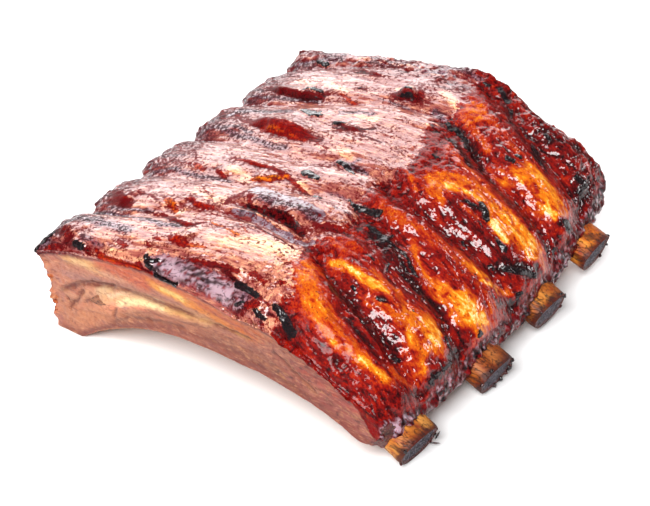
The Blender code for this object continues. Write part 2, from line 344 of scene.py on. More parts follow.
def painted(p, base, strokes, soft=0.7):
    """Levels laid one over the other: each stroke is (points, half width, level)."""
    out = base.copy()
    for pts, half, level in strokes:
        inside, w = laid_one(p, pts, half, soft)
        out[inside] = out[inside] * (1 - w) + (level + 0.6 * (base[inside] - 0.3)) * w
    return out


def step(x, y, pts, half, height, back=8.0):
    """A steep flank facing the near side: the far side of the line stands higher and falls away slowly."""
    d, side, share = along(x, y, pts)
    s = d * side
    ends = smooth(0.0, 0.3, share) * smooth(0.0, 0.3, 1 - share)
    return height * ends * smooth(-half, half, s) * np.exp(-np.clip(s, 0, None) / back) * np.exp(
        -np.square(np.clip(d - 14.0, 0, None) / 4.0)
    )


def srgb(r, g, b):
    c = np.array([r, g, b]) / 255.0
    return np.where(c <= 0.04045, c / 12.92, ((c + 0.055) / 1.055) ** 2.4)


def mix(a, b, t):
    return a + (b - a) * np.asarray(t)[:, None]


# =========================================================================================
# what lies where on the top, in millimetres of plan: (points, half width, strength)
# =========================================================================================
# domes and valleys of the belly half: (points, half width)
DOMES = [
    ([(20, 47), (28, 44), (36, 41), (44, 38), (52, 36)], 4.2),
    ([(9, 54), (16, 51), (23, 48)], 2.6, 0.7),
    ([(27, 17), (33, 19), (40, 18), (47, 17), (53, 16)], 7.6),
    ([(18, -6), (26, -6.5), (34, -5), (44, -4.5), (52, -3)], 2.0),
    ([(44, -8), (50, -10), (53, -13)], 5.6),
    ([(36, -14), (42, -17), (50, -18)], 1.8),
    ([(17, -31), (26, -32.5), (34, -33.5), (42, -34)], 2.8),
    ([(45, -35), (52, -33)], 4.8),
    ([(20, -26), (30, -25)], 1.4, 0.6),
    ([(18, -41), (23, -46), (30, -51)], 3.8),
    ([(30, -51.5), (40, -52.5), (50, -52.5), (56, -51.5)], 2.8),
]
VALLEYS = [
    ([(10, 37), (18, 33), (28, 31), (40, 30.5), (56, 29)], 2.8),
    ([(14, 3), (24, 1), (36, 2), (48, 2), (56, 3)], 3.2),
    ([(15, -14), (22, -17), (32, -21), (42, -23), (55, -24)], 3.4),
    ([(36, -47), (44, -48), (52, -48.5)], 2.3),
    ([(22, -36), (30, -38), (40, -42), (52, -43)], 2.6),
    ([(28, -58), (40, -57.5), (57, -56)], 3.0, 0.8),
    ([(20, 62), (30, 56), (40, 50), (52, 48)], 4.8),
    ([(48, 62), (54, 55), (56, 40)], 3.0),
]
# steep flanks that face the near side: (points, half width, height)
FLANKS = [
    ([(20.7, 28.2), (26.3, 21.8), (31.5, 18.8)], 1.1, 0.9),
    ([(24, -13.5), (31, -19), (38, -22.5)], 1.0, 1.0),
    ([(22, -34.5), (32, -38), (44, -42.5)], 1.1, 0.9),
    ([(34, -44), (42, -46), (50, -47)], 0.9, 0.8),
]
# WINDOWS bare red meat between veils of glaze, the veils painted pale as a reflection of the light: (points, half
# width, level of red)
# BELLY browning of the belly half, laid one over the other, where levels of 0.9 and more on the dome tops are painted
# highlights: (points, half width, level)
# CHAR burnt crust; SOOT grit in the glaze, turned grey-lavender in the veil as painted sheen; PALE fat showing through
# and painted highlight, lightening the veil: (points, half width, strength)
# EDGE where the veil of glaze and its painted reflection end, (x, y) from near to far
WINDOWS = [
    ([(-40.9, 13.6), (-32.6, 10.8), (-23.3, 9.5), (-15.9, 8.8), (-12.3, 9.3)], 1.54, 0.3),
    ([(-31.0, 8.8), (-25.8, 8.0), (-21.6, 8.0)], 0.7, 0.5),
    ([(-10.5, 7.5), (-6.8, 6.4)], 0.45, 0.5),
    ([(-47.8, 18.3), (-42.8, 14.3)], 0.84, 0.3),
    ([(-54.1, 19.5), (-49.5, 14.3)], 1.26, 0.3),
    ([(-57.3, 13.6), (-54.3, 12.5)], 0.9, 0.3),
    ([(-48.7, 36.3), (-43.1, 33.9), (-34.6, 32.2), (-30.0, 32.1), (-26.6, 33.7)], 0.84, 0.2),
    ([(-32.6, 31.3), (-26.8, 32.8)], 0.78, 0.25),
    ([(-29.0, 51.4), (-24.4, 49.7), (-17.4, 49.0)], 0.56, 0.25),
    ([(-27.8, 58.2), (-21.8, 57.8), (-16.9, 58.0)], 0.39, 0.2),
    ([(-22.6, 35.9), (-18.4, 35.0), (-14.0, 32.8)], 0.45, 0.45),
    ([(-28.7, -8.4), (-23.0, -9.7), (-16.6, -10.3), (-10.8, -10.8), (-6.9, -11.6), (-2.9, -13.3), (0.6, -14.6)], 0.73, 0.36),
    ([(-15.7, -16.0), (-10.7, -14.8), (-7.5, -11.8)], 0.9, 0.74),
    ([(-1.3, -13.7), (1.4, -14.6)], 0.5, 0.5),
    ([(-29.8, -15.0), (-26.4, -16.8), (-23.1, -18.3)], 0.62, 0.35),
    ([(-37.7, -13.7), (-33.1, -15.8)], 0.84, 0.5),
    ([(-56.3, -1.2), (-49.4, -5.2)], 0.42, 0.45),
    ([(-46.9, -12.9), (-38.8, -13.7)], 0.42, 0.4),
    ([(-45.7, -3.9), (-39.0, -11.6)], 0.5, 0.25),
    ([(-48.9, -13.9), (-47.6, -12.0)], 0.84, 0.2),
    ([(-52.0, -33.3), (-46.4, -36.5), (-41.7, -38.3)], 1.68, 0.25),
    ([(-42.4, -33.3), (-37.6, -33.8), (-33.8, -35.4)], 0.5, 0.3),
    ([(-30.9, -34.7), (-27.6, -36.5), (-25.3, -37.8)], 1.12, 0.64),
    ([(-24.9, -31.8), (-21.7, -34.2), (-18.2, -34.5), (-16.4, -33.3)], 0.84, 0.38),
    ([(-25.0, -26.3), (-20.1, -28.3)], 0.36, 0.4),
    ([(-33.2, -40.5), (-30.0, -40.3)], 0.64, 0.3),
    ([(-27.7, -40.2), (-22.4, -42.7), (-17.8, -44.2), (-14.8, -43.9), (-12.8, -41.1)], 0.7, 0.27),
    ([(-15.4, -36.0), (-12.2, -35.2)], 0.5, 0.4),
    ([(-14.4, -31.2), (-13.6, -27.8), (-11.9, -25.2)], 0.56, 0.38),
    ([(-9.6, -25.2), (-7.0, -28.2)], 0.64, 0.35),
    ([(-3.4, -28.2), (0.5, -27.4)], 0.42, 0.1),
    ([(3.3, -27.8), (7.2, -28.7), (9.1, -28.9)], 0.7, 0.1),
    ([(-11.3, -40.3), (-7.5, -40.2)], 0.5, 0.72),
    ([(-5.6, -40.9), (-0.9, -42.0)], 0.67, 0.7),
    ([(-4.2, -36.5), (0.4, -39.5)], 0.34, 0.6),
    ([(1.9, -36.2), (4.8, -37.3)], 0.34, 0.6),
    ([(-20.2, -52.0), (-18.3, -52.8)], 0.78, 0.4),
    ([(-16.1, -50.6), (-12.8, -51.3), (-10.8, -51.7)], 1.12, 0.42),
    ([(-9.5, -51.2), (-4.9, -50.2)], 0.62, 0.6),
    ([(-1.7, -49.9), (1.3, -50.0)], 0.42, 0.4),
    ([(-29.8, -55.9), (-26.6, -57.1)], 0.78, 0.35),
    ([(-21.2, -54.4), (-19.7, -55.4)], 0.62, 0.3),
    ([(-30.6, -53.1)], 0.56, 0.5),
    ([(-9.3, -55.8), (-3.2, -54.9), (1.4, -53.8), (5.8, -53.2), (8.1, -53.1)], 0.64, 0.25),
    ([(11.2, -52.0), (14.3, -52.0), (15.9, -52.3)], 0.78, 0.35),
    ([(18.6, -51.4), (19.6, -49.8)], 0.56, 0.25),
    ([(-53.5, -54.4), (-50.0, -55.0), (-45.9, -58.0)], 1.4, 0.25),
    ([(-53.9, -59.8), (-51.6, -59.3), (-48.2, -59.7)], 0.84, 0.36),
    ([(-47.1, -58.4), (-41.2, -59.1), (-37.3, -59.7)], 1.06, 0.22),
    ([(-35.8, -59.1), (-31.9, -59.7), (-27.3, -59.7)], 0.56, 0.4),
    ([(-33.3, -59.8), (-26.0, -59.8), (-19.5, -59.8), (-14.9, -59.8)], 1.01, 0.5),
    ([(-20.7, -59.4), (-17.4, -59.8)], 0.73, 0.25),
    ([(4.3, -54.3), (9.4, -55.5), (14.3, -56.0), (17.5, -56.0)], 0.73, 0.1),
    ([(13.9, -58.4), (16.7, -57.5)], 1.12, 0.32),
    ([(19.6, -59.0), (20.1, -59.7)], 0.84, 0.3),
    ([(10.3, -59.4), (14.8, -59.4)], 0.56, 0.25),
    ([(17.7, -56.1), (19.7, -56.5)], 0.42, 0.3),
    ([(9.7, -4.3), (11.6, -3.2)], 0.42, 0.3),
    ([(-1.0, 1.6), (2.7, 0.7)], 0.42, 0.2),
    ([(4.4, 3.8), (7.6, 3.1)], 0.42, 0.15),
    ([(-11.4, 16.8), (-7.9, 17.2), (-3.9, 20.2), (-1.7, 22.6)], 0.56, 0.15),
    ([(-3.0, 17.4), (1.5, 17.0), (4.7, 17.2)], 0.56, 0.2),
    ([(-19.2, 41.2), (-17.2, 40.7)], 0.7, 0.15),
    ([(15.2, -5.2), (17.4, -5.2)], 1.12, 0.3),
    ([(14.8, 2.7), (18.8, 2.5)], 0.98, 0.2),
    ([(-6.3, 40.9), (-2.2, 42.0), (0.1, 43.8)], 1.12, 0.15),
    ([(-2.6, 47.8), (0.2, 45.1)], 0.84, 0.3),
    ([(-1.3, 54.5), (-0.3, 57.0)], 0.56, 0.3),
    ([(5.3, 54.5), (8.7, 54.2)], 0.56, 0.2),
    ([(-4.7, -0.8), (-1.7, -0.4)], 0.39, 0.35),
    ([(-39.4, 13.2), (-30.8, 10.6), (-22.6, 9.1), (-15.2, 8.6), (-11.4, 9.1)], 1.74, 0.28),
    ([(-31.3, 9.3), (-25.5, 8.2), (-19.9, 7.3), (-15.0, 7.3)], 0.78, 0.54),
    ([(-49.4, 36.4), (-42.0, 33.4), (-34.6, 32.2), (-29.3, 32.6), (-26.8, 34.6)], 0.9, 0.16),
    ([(-7.5, 42.5), (-3.3, 42.5), (0.9, 42.7)], 1.18, 0.2),
    ([(-28.8, 53.1), (-22.4, 50.2), (-16.7, 49.2)], 0.73, 0.22),
    ([(-25.1, 59.7), (-17.8, 58.4), (-12.2, 57.3)], 0.5, 0.22),
    ([(-12.7, 18.7), (-7.9, 17.9), (-3.5, 19.1)], 0.67, 0.16),
    ([(-22.6, 35.9), (-18.9, 34.8), (-14.0, 32.8)], 0.56, 0.5),
    ([(-19.2, 41.2), (-17.6, 40.6)], 0.67, 0.16),

    ([(-8.1, -28.7), (-4.2, -28.7), (-1.0, -28.7)], 0.78, 0.06),
    ([(-2.5, -28.2), (3.1, -28.7), (7.6, -29.6), (11.6, -30.5)], 1.23, 0.04),
    ([(-8.1, -34.2), (-1.8, -35.5), (4.2, -36.5), (11.3, -37.3), (15.4, -37.8)], 0.36, 0.1),
    ([(13.7, -26.5), (17.4, -24.4), (21.4, -22.6)], 1.01, 0.26),
    ([(15.5, -34.3), (18.3, -32.8), (22.0, -32.5)], 0.84, 0.2),
    ([(-14.4, -31.2), (-13.6, -27.0), (-11.7, -24.2)], 0.73, 0.32),
]
BELLY = [
    ([(18.9, 65.0), (23.9, 64.8), (34.4, 57.4), (43.9, 58.5), (50.3, 61.8), (51.6, 55.1)], 3.36, 0.2),
    ([(20.6, 63.2), (27.5, 59.5)], 1.96, 0.33),
    ([(36.3, 54.5), (41.5, 55.1), (45.8, 57.2)], 1.68, 0.22),
    ([(47.0, 59.0), (50.0, 61.4)], 1.4, 0.33),
    ([(36.2, 49.2), (39.4, 46.0)], 1.68, 0.02),
    ([(20.2, 58.3), (27.8, 51.2), (33.0, 48.4)], 1.4, 0.18),
    ([(9.2, 56.6), (14.1, 56.4)], 1.68, 0.33),
    ([(14.2, 48.5), (19.2, 44.9)], 1.68, 0.72),
    ([(17.6, 49.7), (20.0, 46.9)], 1.12, 0.62),
    ([(13.8, 44.0), (18.9, 41.2), (24.7, 38.4), (28.6, 36.6)], 0.98, 0.62),
    ([(22.2, 46.6), (26.1, 44.6), (31.7, 42.2), (36.1, 40.4), (38.9, 39.7)], 1.54, 0.52),
    ([(27.2, 42.8), (30.3, 43.5)], 1.4, 0.42),
    ([(37.1, 32.6), (40.5, 34.3), (40.5, 39.9), (44.5, 39.2), (47.7, 39.0), (50.6, 37.7), (52.1, 37.5)], 2.38, 0.74),
    ([(40.5, 38.7), (45.4, 39.0), (49.0, 37.3)], 1.4, 0.82),
    ([(46.9, 32.1), (49.5, 32.4), (52.1, 34.1)], 1.4, 0.8),
    ([(44.2, 34.5), (45.7, 34.6)], 1.68, 0.35),
    ([(33.5, 33.9), (39.4, 32.4), (44.8, 31.7), (50.6, 30.9)], 0.98, 0.45),
    ([(49.5, 41.7), (51.7, 42.7), (53.5, 42.4)], 1.4, 0.42),
    ([(11.1, 29.2), (17.5, 25.3), (23.0, 21.6)], 2.52, 0.3),
    ([(21.4, 26.5), (28.5, 23.5), (35.1, 21.6)], 1.96, 0.5),
    ([(21.1, 29.4), (24.8, 27.3)], 1.12, 0.4),
    ([(26.2, 11.9), (29.8, 16.0), (35.1, 17.9), (41.5, 18.3), (48.2, 18.1), (53.9, 18.7)], 2.66, 0.76),
    ([(28.4, 13.0), (34.3, 16.6), (40.5, 18.3)], 1.4, 0.84),
    ([(27.1, 8.6), (30.5, 7.3)], 1.68, 0.62),
    ([(46.9, 17.7), (50.1, 17.9), (52.8, 18.7)], 2.52, 0.82),
    ([(43.6, 13.6), (46.5, 12.7)], 1.4, 0.9),
    ([(46.1, 13.2), (48.2, 11.9)], 0.95, 1),
    ([(53.8, 17.2), (56.0, 19.3)], 1.68, 0.8),
    ([(54.7, 17.4)], 0.84, 0.92),
    ([(54.5, 24.5), (56.5, 19.3)], 1.4, 0.42),
    ([(21.6, 37.0), (30.7, 29.8), (41.2, 23.9), (50.1, 23.1), (54.8, 26.3)], 1.18, 0.16),
    ([(33.7, 8.4), (39.9, 8.0), (45.9, 7.8), (51.1, 8.6)], 1.68, 0.22),
    ([(35.7, 10.4), (40.1, 10.6)], 0.78, 0.55),
    ([(39.0, 14.3), (41.9, 13.0)], 1.12, 0.05),
    ([(35.6, 12.1), (37.9, 13.0)], 0.7, 0.08),
    ([(51.2, 6.4), (54.4, 10.8), (56.6, 17.9)], 1.4, 0.12),
    ([(21.2, -7.1), (27.6, -8.0), (33.9, -7.8), (39.5, -6.5), (43.9, -4.5), (48.8, -4.1)], 1.96, 0.5),
    ([(23.3, -7.3), (28.5, -7.5)], 1.12, 0.6),
    ([(23.9, 2.5), (30.5, 2.3), (38.6, -0.1), (47.5, 1.4), (53.4, 2.3)], 1.12, 0.28),
    ([(15.6, 11.5), (19.8, 8.6), (23.6, 5.8)], 0.5, 0.62),
    ([(22.2, 8.8), (28.3, 5.6), (32.3, 3.8)], 0.56, 0.35),
    ([(45.9, -5.4), (49.3, -4.5), (52.2, -1.5), (55.8, 2.5)], 1.23, 0.74),
    ([(51.2, -5.8), (53.6, -2.3), (56.7, 1.4)], 0.67, 0.9),
    ([(47.1, -15.6), (51.2, -14.8), (54.1, -14.3), (56.6, -13.9)], 3.08, 0.76),
    ([(51.4, -14.1), (53.1, -14.8)], 1.54, 1),
    ([(52.1, -18.5), (55.2, -16.0), (56.6, -12.0)], 1.4, 0.9),
    ([(48.1, -14.8), (50.1, -13.9)], 0.84, 0.86),
    ([(34.8, -11.8), (39.5, -15.8), (45.4, -18.5), (50.9, -19.1), (54.7, -19.1)], 0.95, 0.66),
    ([(38.3, -11.8), (43.2, -13.1), (48.5, -12.7)], 1.68, 0.3),
    ([(52.8, -7.3), (55.9, -6.9)], 1.4, 0.42),
    ([(55.3, -6.0), (56.7, -10.1)], 1.12, 0.5),
    ([(46.7, -22.5), (52.8, -22.1), (57.0, -18.5)], 1.12, 0.2),
    ([(21.4, -27.0), (28.2, -27.6), (37.9, -30.5), (43.0, -30.9)], 1.68, 0.36),
    ([(19.6, -28.3), (25.6, -27.8)], 1.68, 0.5),
    ([(19.0, -21.3), (24.8, -20.5)], 1.12, 0.45),
    ([(23.8, -33.3), (28.6, -32.8), (33.6, -33.2), (39.3, -32.1)], 1.12, 0.84),
    ([(28.4, -32.6), (30.9, -32.5)], 0.7, 0.93),
    ([(37.1, -36.8), (42.6, -35.9), (46.8, -34.9)], 1.4, 0.62),
    ([(41.3, -29.4), (45.3, -32.1)], 1.12, 0.64),
    ([(33.1, -29.4), (38.6, -30.2)], 1.12, 0.55),
    ([(38.9, -35.0), (40.4, -34.7)], 0.7, 0.15),
    ([(48.0, -32.8), (50.9, -29.8), (54.0, -31.6), (55.7, -37.8)], 2.94, 0.72),
    ([(50.9, -29.8), (53.5, -29.1)], 1.4, 0.84),
    ([(52.6, -32.5), (53.9, -31.4)], 0.84, 1),
    ([(48.9, -36.0), (51.4, -38.1)], 1.12, 0.82),
    ([(52.3, -36.7), (54.6, -36.3)], 1.68, 0.62),
    ([(56.1, -35.9), (57.6, -33.2), (57.6, -38.8)], 1.96, 0.28),
    ([(28.8, -42.3), (33.1, -41.7), (38.3, -42.6), (44.0, -43.6), (49.2, -42.1)], 1.68, 0.12),
    ([(38.2, -47.0), (44.4, -48.5), (50.2, -49.1), (52.5, -49.0)], 1.26, 0.17),
    ([(45.6, -44.0), (49.0, -43.6)], 0.84, 0.22),
    ([(21.1, -42.7), (26.1, -48.2), (31.5, -51.2), (36.2, -52.0)], 2.8, 0.66),
    ([(27.9, -50.7), (32.6, -52.0)], 1.4, 0.74),
    ([(22.4, -45.0)], 1.4, 0.8),
    ([(35.2, -51.3), (40.1, -51.7), (44.8, -51.8)], 1.68, 0.48),
    ([(46.0, -53.7), (49.4, -53.2), (52.3, -52.2)], 1.82, 0.82),
    ([(46.2, -53.0), (48.6, -52.8)], 0.98, 0.92),
    ([(38.5, -55.2), (40.8, -55.9)], 1.12, 0.82),
    ([(41.4, -53.6), (43.3, -53.9)], 0.84, 0.7),
    ([(52.2, -47.5), (55.7, -45.3)], 1.4, 0.58),
    ([(50.9, -40.9), (54.7, -42.0)], 1.12, 0.45),
    ([(35.3, -57.8), (43.7, -56.8), (52.7, -55.4), (56.8, -51.6)], 2.24, 0.27),
    ([(45.8, -57.5), (52.2, -57.2)], 1.4, 0.33),
    ([(37.3, -58.5), (40.1, -58.0)], 1.4, 0.2),
    ([(21.9, -58.7), (31.8, -59.2), (42.3, -58.9), (52.3, -58.3), (56.2, -55.9)], 1.12, 0.33),
    ([(56.4, -50.8), (57.6, -42.4)], 1.12, 0.22),
    ([(25.2, -16.4), (30.7, -17.6), (39.8, -21.7), (45.5, -21.7), (49.9, -20.1)], 1.26, 0.08),
    ([(21.7, -18.3), (27.2, -19.3)], 0.84, 0.2),
    ([(57.1, -21.3), (57.6, -30.0), (57.6, -39.2)], 1.4, 0.1),
    ([(56.5, -0.1), (57.4, 3.1)], 1.68, 0.12),
    ([(54.8, -27.6), (56.3, -26.5)], 1.12, 0.05),
    ([(49.6, 49.4), (52.3, 50.9)], 1.4, 0.15),
    ([(53.2, 34.6), (54.4, 38.0)], 1.4, 0.05),
    ([(17.8, 33.2), (23.5, 29.4), (28.5, 25.7)], 1.12, 0.05),
    ([(9.0, 34.5), (13.3, 32.8)], 1.12, 0.22),
    ([(25.6, 14.9), (30.1, 17.0), (35.2, 18.1), (40.6, 19.1)], 1.4, 0.68),
    ([(42.8, 15.7), (48.1, 15.7), (53.3, 16.8)], 2.66, 0.76),
    ([(43.4, 13.2), (45.9, 11.7), (48.5, 11.2)], 1.01, 0.93),
    ([(48.5, 16.6), (51.0, 17.2), (53.5, 17.7)], 1.01, 0.9),
    ([(54.9, 18.7), (56.5, 19.5)], 1.26, 0.6),
    ([(40.2, 35.9), (45.5, 36.3), (50.1, 35.7)], 1.82, 0.72),
    ([(43.5, 35.4), (45.1, 35.2)], 0.62, 0.3),
    ([(48.7, 33.5), (50.7, 33.2)], 0.84, 0.88),
    ([(39.8, 38.7), (44.0, 38.4)], 0.9, 0.82),
    ([(51.0, 38.2), (52.2, 37.8)], 0.84, 0.58),
]
CHAR = [
    ([(23.0, -56.4), (25.4, -57.5), (28.1, -59.1)], 1.12),
    ([(9.1, -55.9), (12.3, -55.9), (15.9, -56.1)], 0.90),
    ([(-25.9, 21.8), (-22.7, 21.4), (-18.9, 20.2)], 1.01),
    ([(-4.2, -7.1), (-1.9, -7.5), (0.3, -8.0)], 1.06),
    ([(0.2, 3.1), (2.6, 2.7), (5.4, 1.0)], 1.01),
    ([(-44.9, 57.2), (-41.7, 56.3)], 0.90),
    ([(-12.6, 19.5), (-9.8, 19.5)], 0.73),
    ([(-18.6, -58.0), (-16.6, -59.4), (-13.6, -59.9), (-9.0, -59.9)], 0.9),
    ([(-31.8, 34.6), (-28.6, 35.2)], 0.84),
    ([(-25.5, 21.4), (-22.1, 20.4), (-19.7, 20.6)], 1.01),
    ([(-12.1, 18.5), (-11.1, 18.9)], 0.73),
    ([(-3.8, -8.2), (-0.1, -7.8)], 1.12),
    ([(4.5, -14.8), (6.3, -14.6)], 0.62),
    ([(1.9, 3.1), (6.1, 0.5)], 0.73),
    ([(15.6, -10.8), (18.2, -10.5), (21.2, -9.3)], 1.29),
    ([(-6.6, 44.3), (-3.4, 44.1)], 0.67),
    ([(-18.9, 40.7)], 0.5),
    ([(-3.8, -30.2), (-0.6, -30.2)], 0.56),
    ([(-17.8, -58.7), (-15.2, -57.8)], 0.67),
    ([(-16.5, -59.6), (-12.3, -59.8), (-7.3, -59.8)], 0.67),
    ([(-4.5, -59.7), (1.8, -59.7), (7.2, -59.6)], 0.34),
    ([(10.9, -55.6), (14.3, -56.0)], 0.9),
    ([(17.4, -58.5), (20.2, -58.9)], 0.84),
    ([(21.7, -56.2), (24.1, -56.6), (26.7, -57.4), (28.9, -58.4)], 0.95),
    ([(11.3, -58.9), (12.9, -58.1)], 0.56),
    ([(-58.2, -59.8), (-57.0, -58.3), (-54.5, -55.9)], 1.23),
    ([(-43.2, -58.6), (-39.9, -59.0)], 0.9),
    ([(-58.5, -59.8), (-58.2, -59.8)], 0.84),
    ([(22.8, -15.4), (26.2, -15.6), (29.2, -16.2)], 1.29),
    ([(29.2, -16.2), (32.7, -15.6), (36.5, -17.4), (40.5, -19.7)], 0.67),
    ([(14.2, -11.0), (12.7, -10.1)], 0.56),
    ([(16.1, 38.2), (19.5, 37.0), (22.9, 33.7)], 1.01),
    ([(12.9, 38.9), (15.4, 37.1)], 0.73),
    ([(30.0, 27.7), (31.9, 26.7)], 0.56),
    ([(34.6, 50.8), (37.6, 49.4), (41.5, 45.7)], 1.12),
    ([(15.6, 62.9), (19.8, 60.7)], 0.9),
    ([(10.9, 61.8), (12.8, 62.0)], 0.56),
    ([(22.3, 59.0), (24.6, 56.0)], 0.56),
    ([(34.8, 56.9), (36.8, 56.0)], 0.62),
    ([(33.6, 37.0), (35.4, 37.0)], 0.84),
    ([(35.1, 40.1), (35.9, 40.2)], 0.67),
    ([(48.4, 52.9), (50.4, 54.2), (51.0, 51.6)], 1.12),
    ([(53.4, 35.4), (54.4, 38.0)], 0.9),
    ([(55.5, 29.0), (55.7, 27.8)], 0.78),
    ([(38.5, 15.1), (40.8, 13.6), (42.2, 12.3)], 1.01),
    ([(35.7, 12.3), (37.4, 13.0)], 0.5),
    ([(47.6, 9.3), (50.0, 9.1)], 0.73),
    ([(41.2, 9.7)], 0.39),
    ([(40.7, 2.7), (42.3, 2.1)], 0.5),
    ([(49.4, 3.6), (50.5, 3.6)], 0.45),
    ([(52.4, 6.2), (54.9, 9.1), (56.7, 13.8)], 0.95),
    ([(49.5, -6.0)], 0.39),
    ([(31.6, -36.2), (32.5, -36.5)], 0.62),
    ([(38.4, -35.4), (40.3, -35.2)], 0.45),
    ([(50.0, -43.8), (51.0, -42.9)], 0.62),
    ([(46.7, -30.5)], 0.5),
    ([(54.6, -27.2), (55.9, -27.8)], 0.95),
    ([(57.5, -15.4), (57.6, -15.6)], 1.01),
    ([(57.6, -39.2), (57.6, -35.5)], 0.95),
    ([(57.6, -29.3), (57.6, -33.5)], 0.73),
    ([(57.2, 6.9), (57.3, 5.3)], 0.84),
    ([(19.4, 20.4), (21.5, 20.2)], 0.5),
    ([(29.8, -26.3), (31.2, -26.7)], 0.39),
    ([(28.8, -17.6), (28.1, -12.7)], 0.56),
    ([(34.4, -23.2), (35.7, -25.9)], 0.39),
    ([(-25.7, 21.2), (-20.9, 19.3), (-20.2, 22.4)], 0.5),
    ([(-33.4, 33.9), (-30.0, 35.0)], 0.62),
    ([(-45.6, 57.3), (-41.1, 55.9)], 0.45),
    ([(-12.6, 19.5), (-9.8, 19.5)], 0.56),
    ([(-4.7, 41.7), (-1.6, 42.4)], 0.56),
]
SOOT = [
    ([(-57.2, -50.2), (-52.0, -49.5), (-44.9, -49.1), (-37.0, -50.7), (-30.4, -51.7)], 1.68, 0.95),
    ([(-54.3, 12.1), (-51.1, 15.7), (-47.4, 19.8), (-39.3, 20.0), (-29.5, 19.5)], 1.54, 0.9),
    ([(-57.3, -10.1), (-52.0, -9.5), (-45.0, -9.7)], 1.12, 0.7),
    ([(-54.8, -52.3), (-52.5, -48.9), (-54.4, -40.5), (-45.1, -41.5), (-35.6, -44.0), (-23.1, -46.2), (-17.7, -45.3)], 1.12, 1),
    ([(-58.0, -59.3), (-54.7, -57.4), (-54.8, -52.3)], 1.4, 1),
    ([(-42.2, -56.4), (-34.6, -58.4)], 1.12, 0.7),
    ([(-48.8, -38.9), (-39.7, -39.9), (-31.9, -39.9)], 0.73, 0.8),
    ([(-49.2, -26.1), (-51.4, -16.6), (-44.3, -16.0), (-32.1, -18.5), (-21.1, -19.1)], 0.95, 0.8),
    ([(-57.2, 10.1), (-52.9, 9.5), (-49.2, 10.6), (-39.2, 6.7), (-30.4, 4.7), (-23.2, 2.3), (-17.9, 2.3)], 1.23, 0.8),
    ([(-49.2, 10.1), (-39.7, 9.7), (-33.9, 7.1)], 0.84, 0.8),
    ([(-57.7, 34.8), (-45.1, 31.7), (-36.4, 30.9), (-26.7, 31.5)], 0.95, 0.8),
    ([(-56.4, 45.1), (-52.4, 56.8), (-42.3, 58.6)], 1.12, 0.8),
    ([(-57.1, 38.7), (-50.7, 35.0)], 1.12, 0.8),
    ([(-15.2, 25.1), (-11.5, 27.5), (-6.4, 28.6)], 1.23, 0.8),
    ([(2.8, 3.4), (8.9, 3.1)], 0.95, 0.9),
    ([(6.4, -10.5), (12.7, -10.1)], 0.84, 0.6),
    ([(-5.5, -25.2), (0.5, -25.2), (6.6, -24.4), (11.2, -25.3)], 1.4, 0.9),
    ([(-10.1, 38.2), (-3.2, 38.5), (4.2, 37.5)], 0.56, 0.7),
    ([(7.2, 41.2), (12.0, 39.2), (17.2, 38.4)], 1.4, 0.9),
    ([(-4.4, 61.6), (0.5, 65.0), (9.1, 62.5)], 1.12, 0.8),
    ([(4.3, 6.9), (3.3, 3.6)], 0.56, 0.8),
    ([(-0.6, -14.8), (10.9, -16.6), (17.4, -16.8)], 0.67, 0.6),
    ([(-13.8, -58.6), (-4.7, -58.0), (3.0, -57.9), (11.8, -58.2)], 3.4, 1),
    ([(42.3, 53.0), (45.5, 50.9)], 1.12, 0.7),
    ([(48.1, 51.6), (51.1, 55.5)], 1.68, 0.9),
    ([(21.9, 40.9), (26.0, 35.5)], 0.84, 0.9),
    ([(32.6, -17.9), (37.5, -19.3), (41.5, -20.5)], 1.26, 0.9),
    ([(56.1, -54.9), (57.2, -52.0)], 1.96, 0.9),]
# grey-lavender laid along the glossy ridge and over the long lump mid top, a painted reflection of the light on them:
# (points, half width, strength)
ASH_SHEEN = [
    ([(-9.1, -31.9), (-4.8, -31.4), (0.2, -32.3), (5.6, -33.2), (9.9, -33.7), (13.0, -34.2)], 0.84, 1),
    ([(-10.1, -22.6), (-3.7, -23.0), (2.1, -22.8), (7.0, -23.0), (12.5, -23.8)], 2.10, 0.9),
    ([(12.4, -33.5), (14.7, -33.2), (16.0, -31.6)], 1.01, 0.8),
]
# pale fat showing through, and painted highlight
PALE = [
    ([(4.6, -41.7), (9.8, -41.2), (14.1, -39.5)], 3.08, 1),
    ([(-2.1, -46.0), (1.8, -42.4)], 1.96, 0.8),
    ([(15.2, -45.3), (20.4, -47.0)], 1.68, 0.6),
    ([(-31.4, 40.7), (-22.1, 37.7)], 1.4, 0.8),
    ([(-40.8, 40.9), (-34.7, 38.7)], 1.4, 0.7),
    ([(-29.5, -37.0), (-23.4, -37.3)], 1.12, 0.9),
    ([(-25.9, -28.5), (-15.2, -30.2)], 1.68, 0.8),
    ([(-24.1, -14.1), (-16.9, -16.4)], 1.68, 0.8),
    ([(-3.2, 8.0), (2.0, 6.4)], 1.4, 0.8),
    ([(4.6, 49.7), (10.1, 47.0), (14.1, 44.3)], 1.68, 0.9),
    ([(-2.3, -12.2), (3.8, -15.2)], 1.12, 0.7),
    ([(-41.9, -37.2), (-34.2, -38.0)], 1.4, 0.4),
    ([(-18.8, -56.5), (-11.3, -55.3)], 1.12, 0.7),
    ([(-29.3, 5.6), (-20.9, 3.8)], 0.84, 0.4),
    ([(-9.0, 6.4), (-3.7, 6.4)], 0.84, 0.6),
    ([(-6.6, -46.4), (2.5, -45.5)], 1.4, 0.6),
    ([(-15.2, 25.1), (-11.0, 26.9), (-4.2, 26.5)], 1.51, 0.9),
    ([(-27.2, 22.2), (-22.7, 20.8), (-20.3, 21.6)], 0.95, 0.9),
    ([(-8.2, 44.7), (-4.4, 45.5)], 0.84, 0.9),
    ([(-57.4, 62.9), (-48.5, 58.0), (-40.6, 56.3)], 0.95, 0.7),
    ([(-31.8, 59.5), (-23.9, 58.9), (-17.4, 59.7), (-11.0, 61.0)], 0.84, 0.8),
]
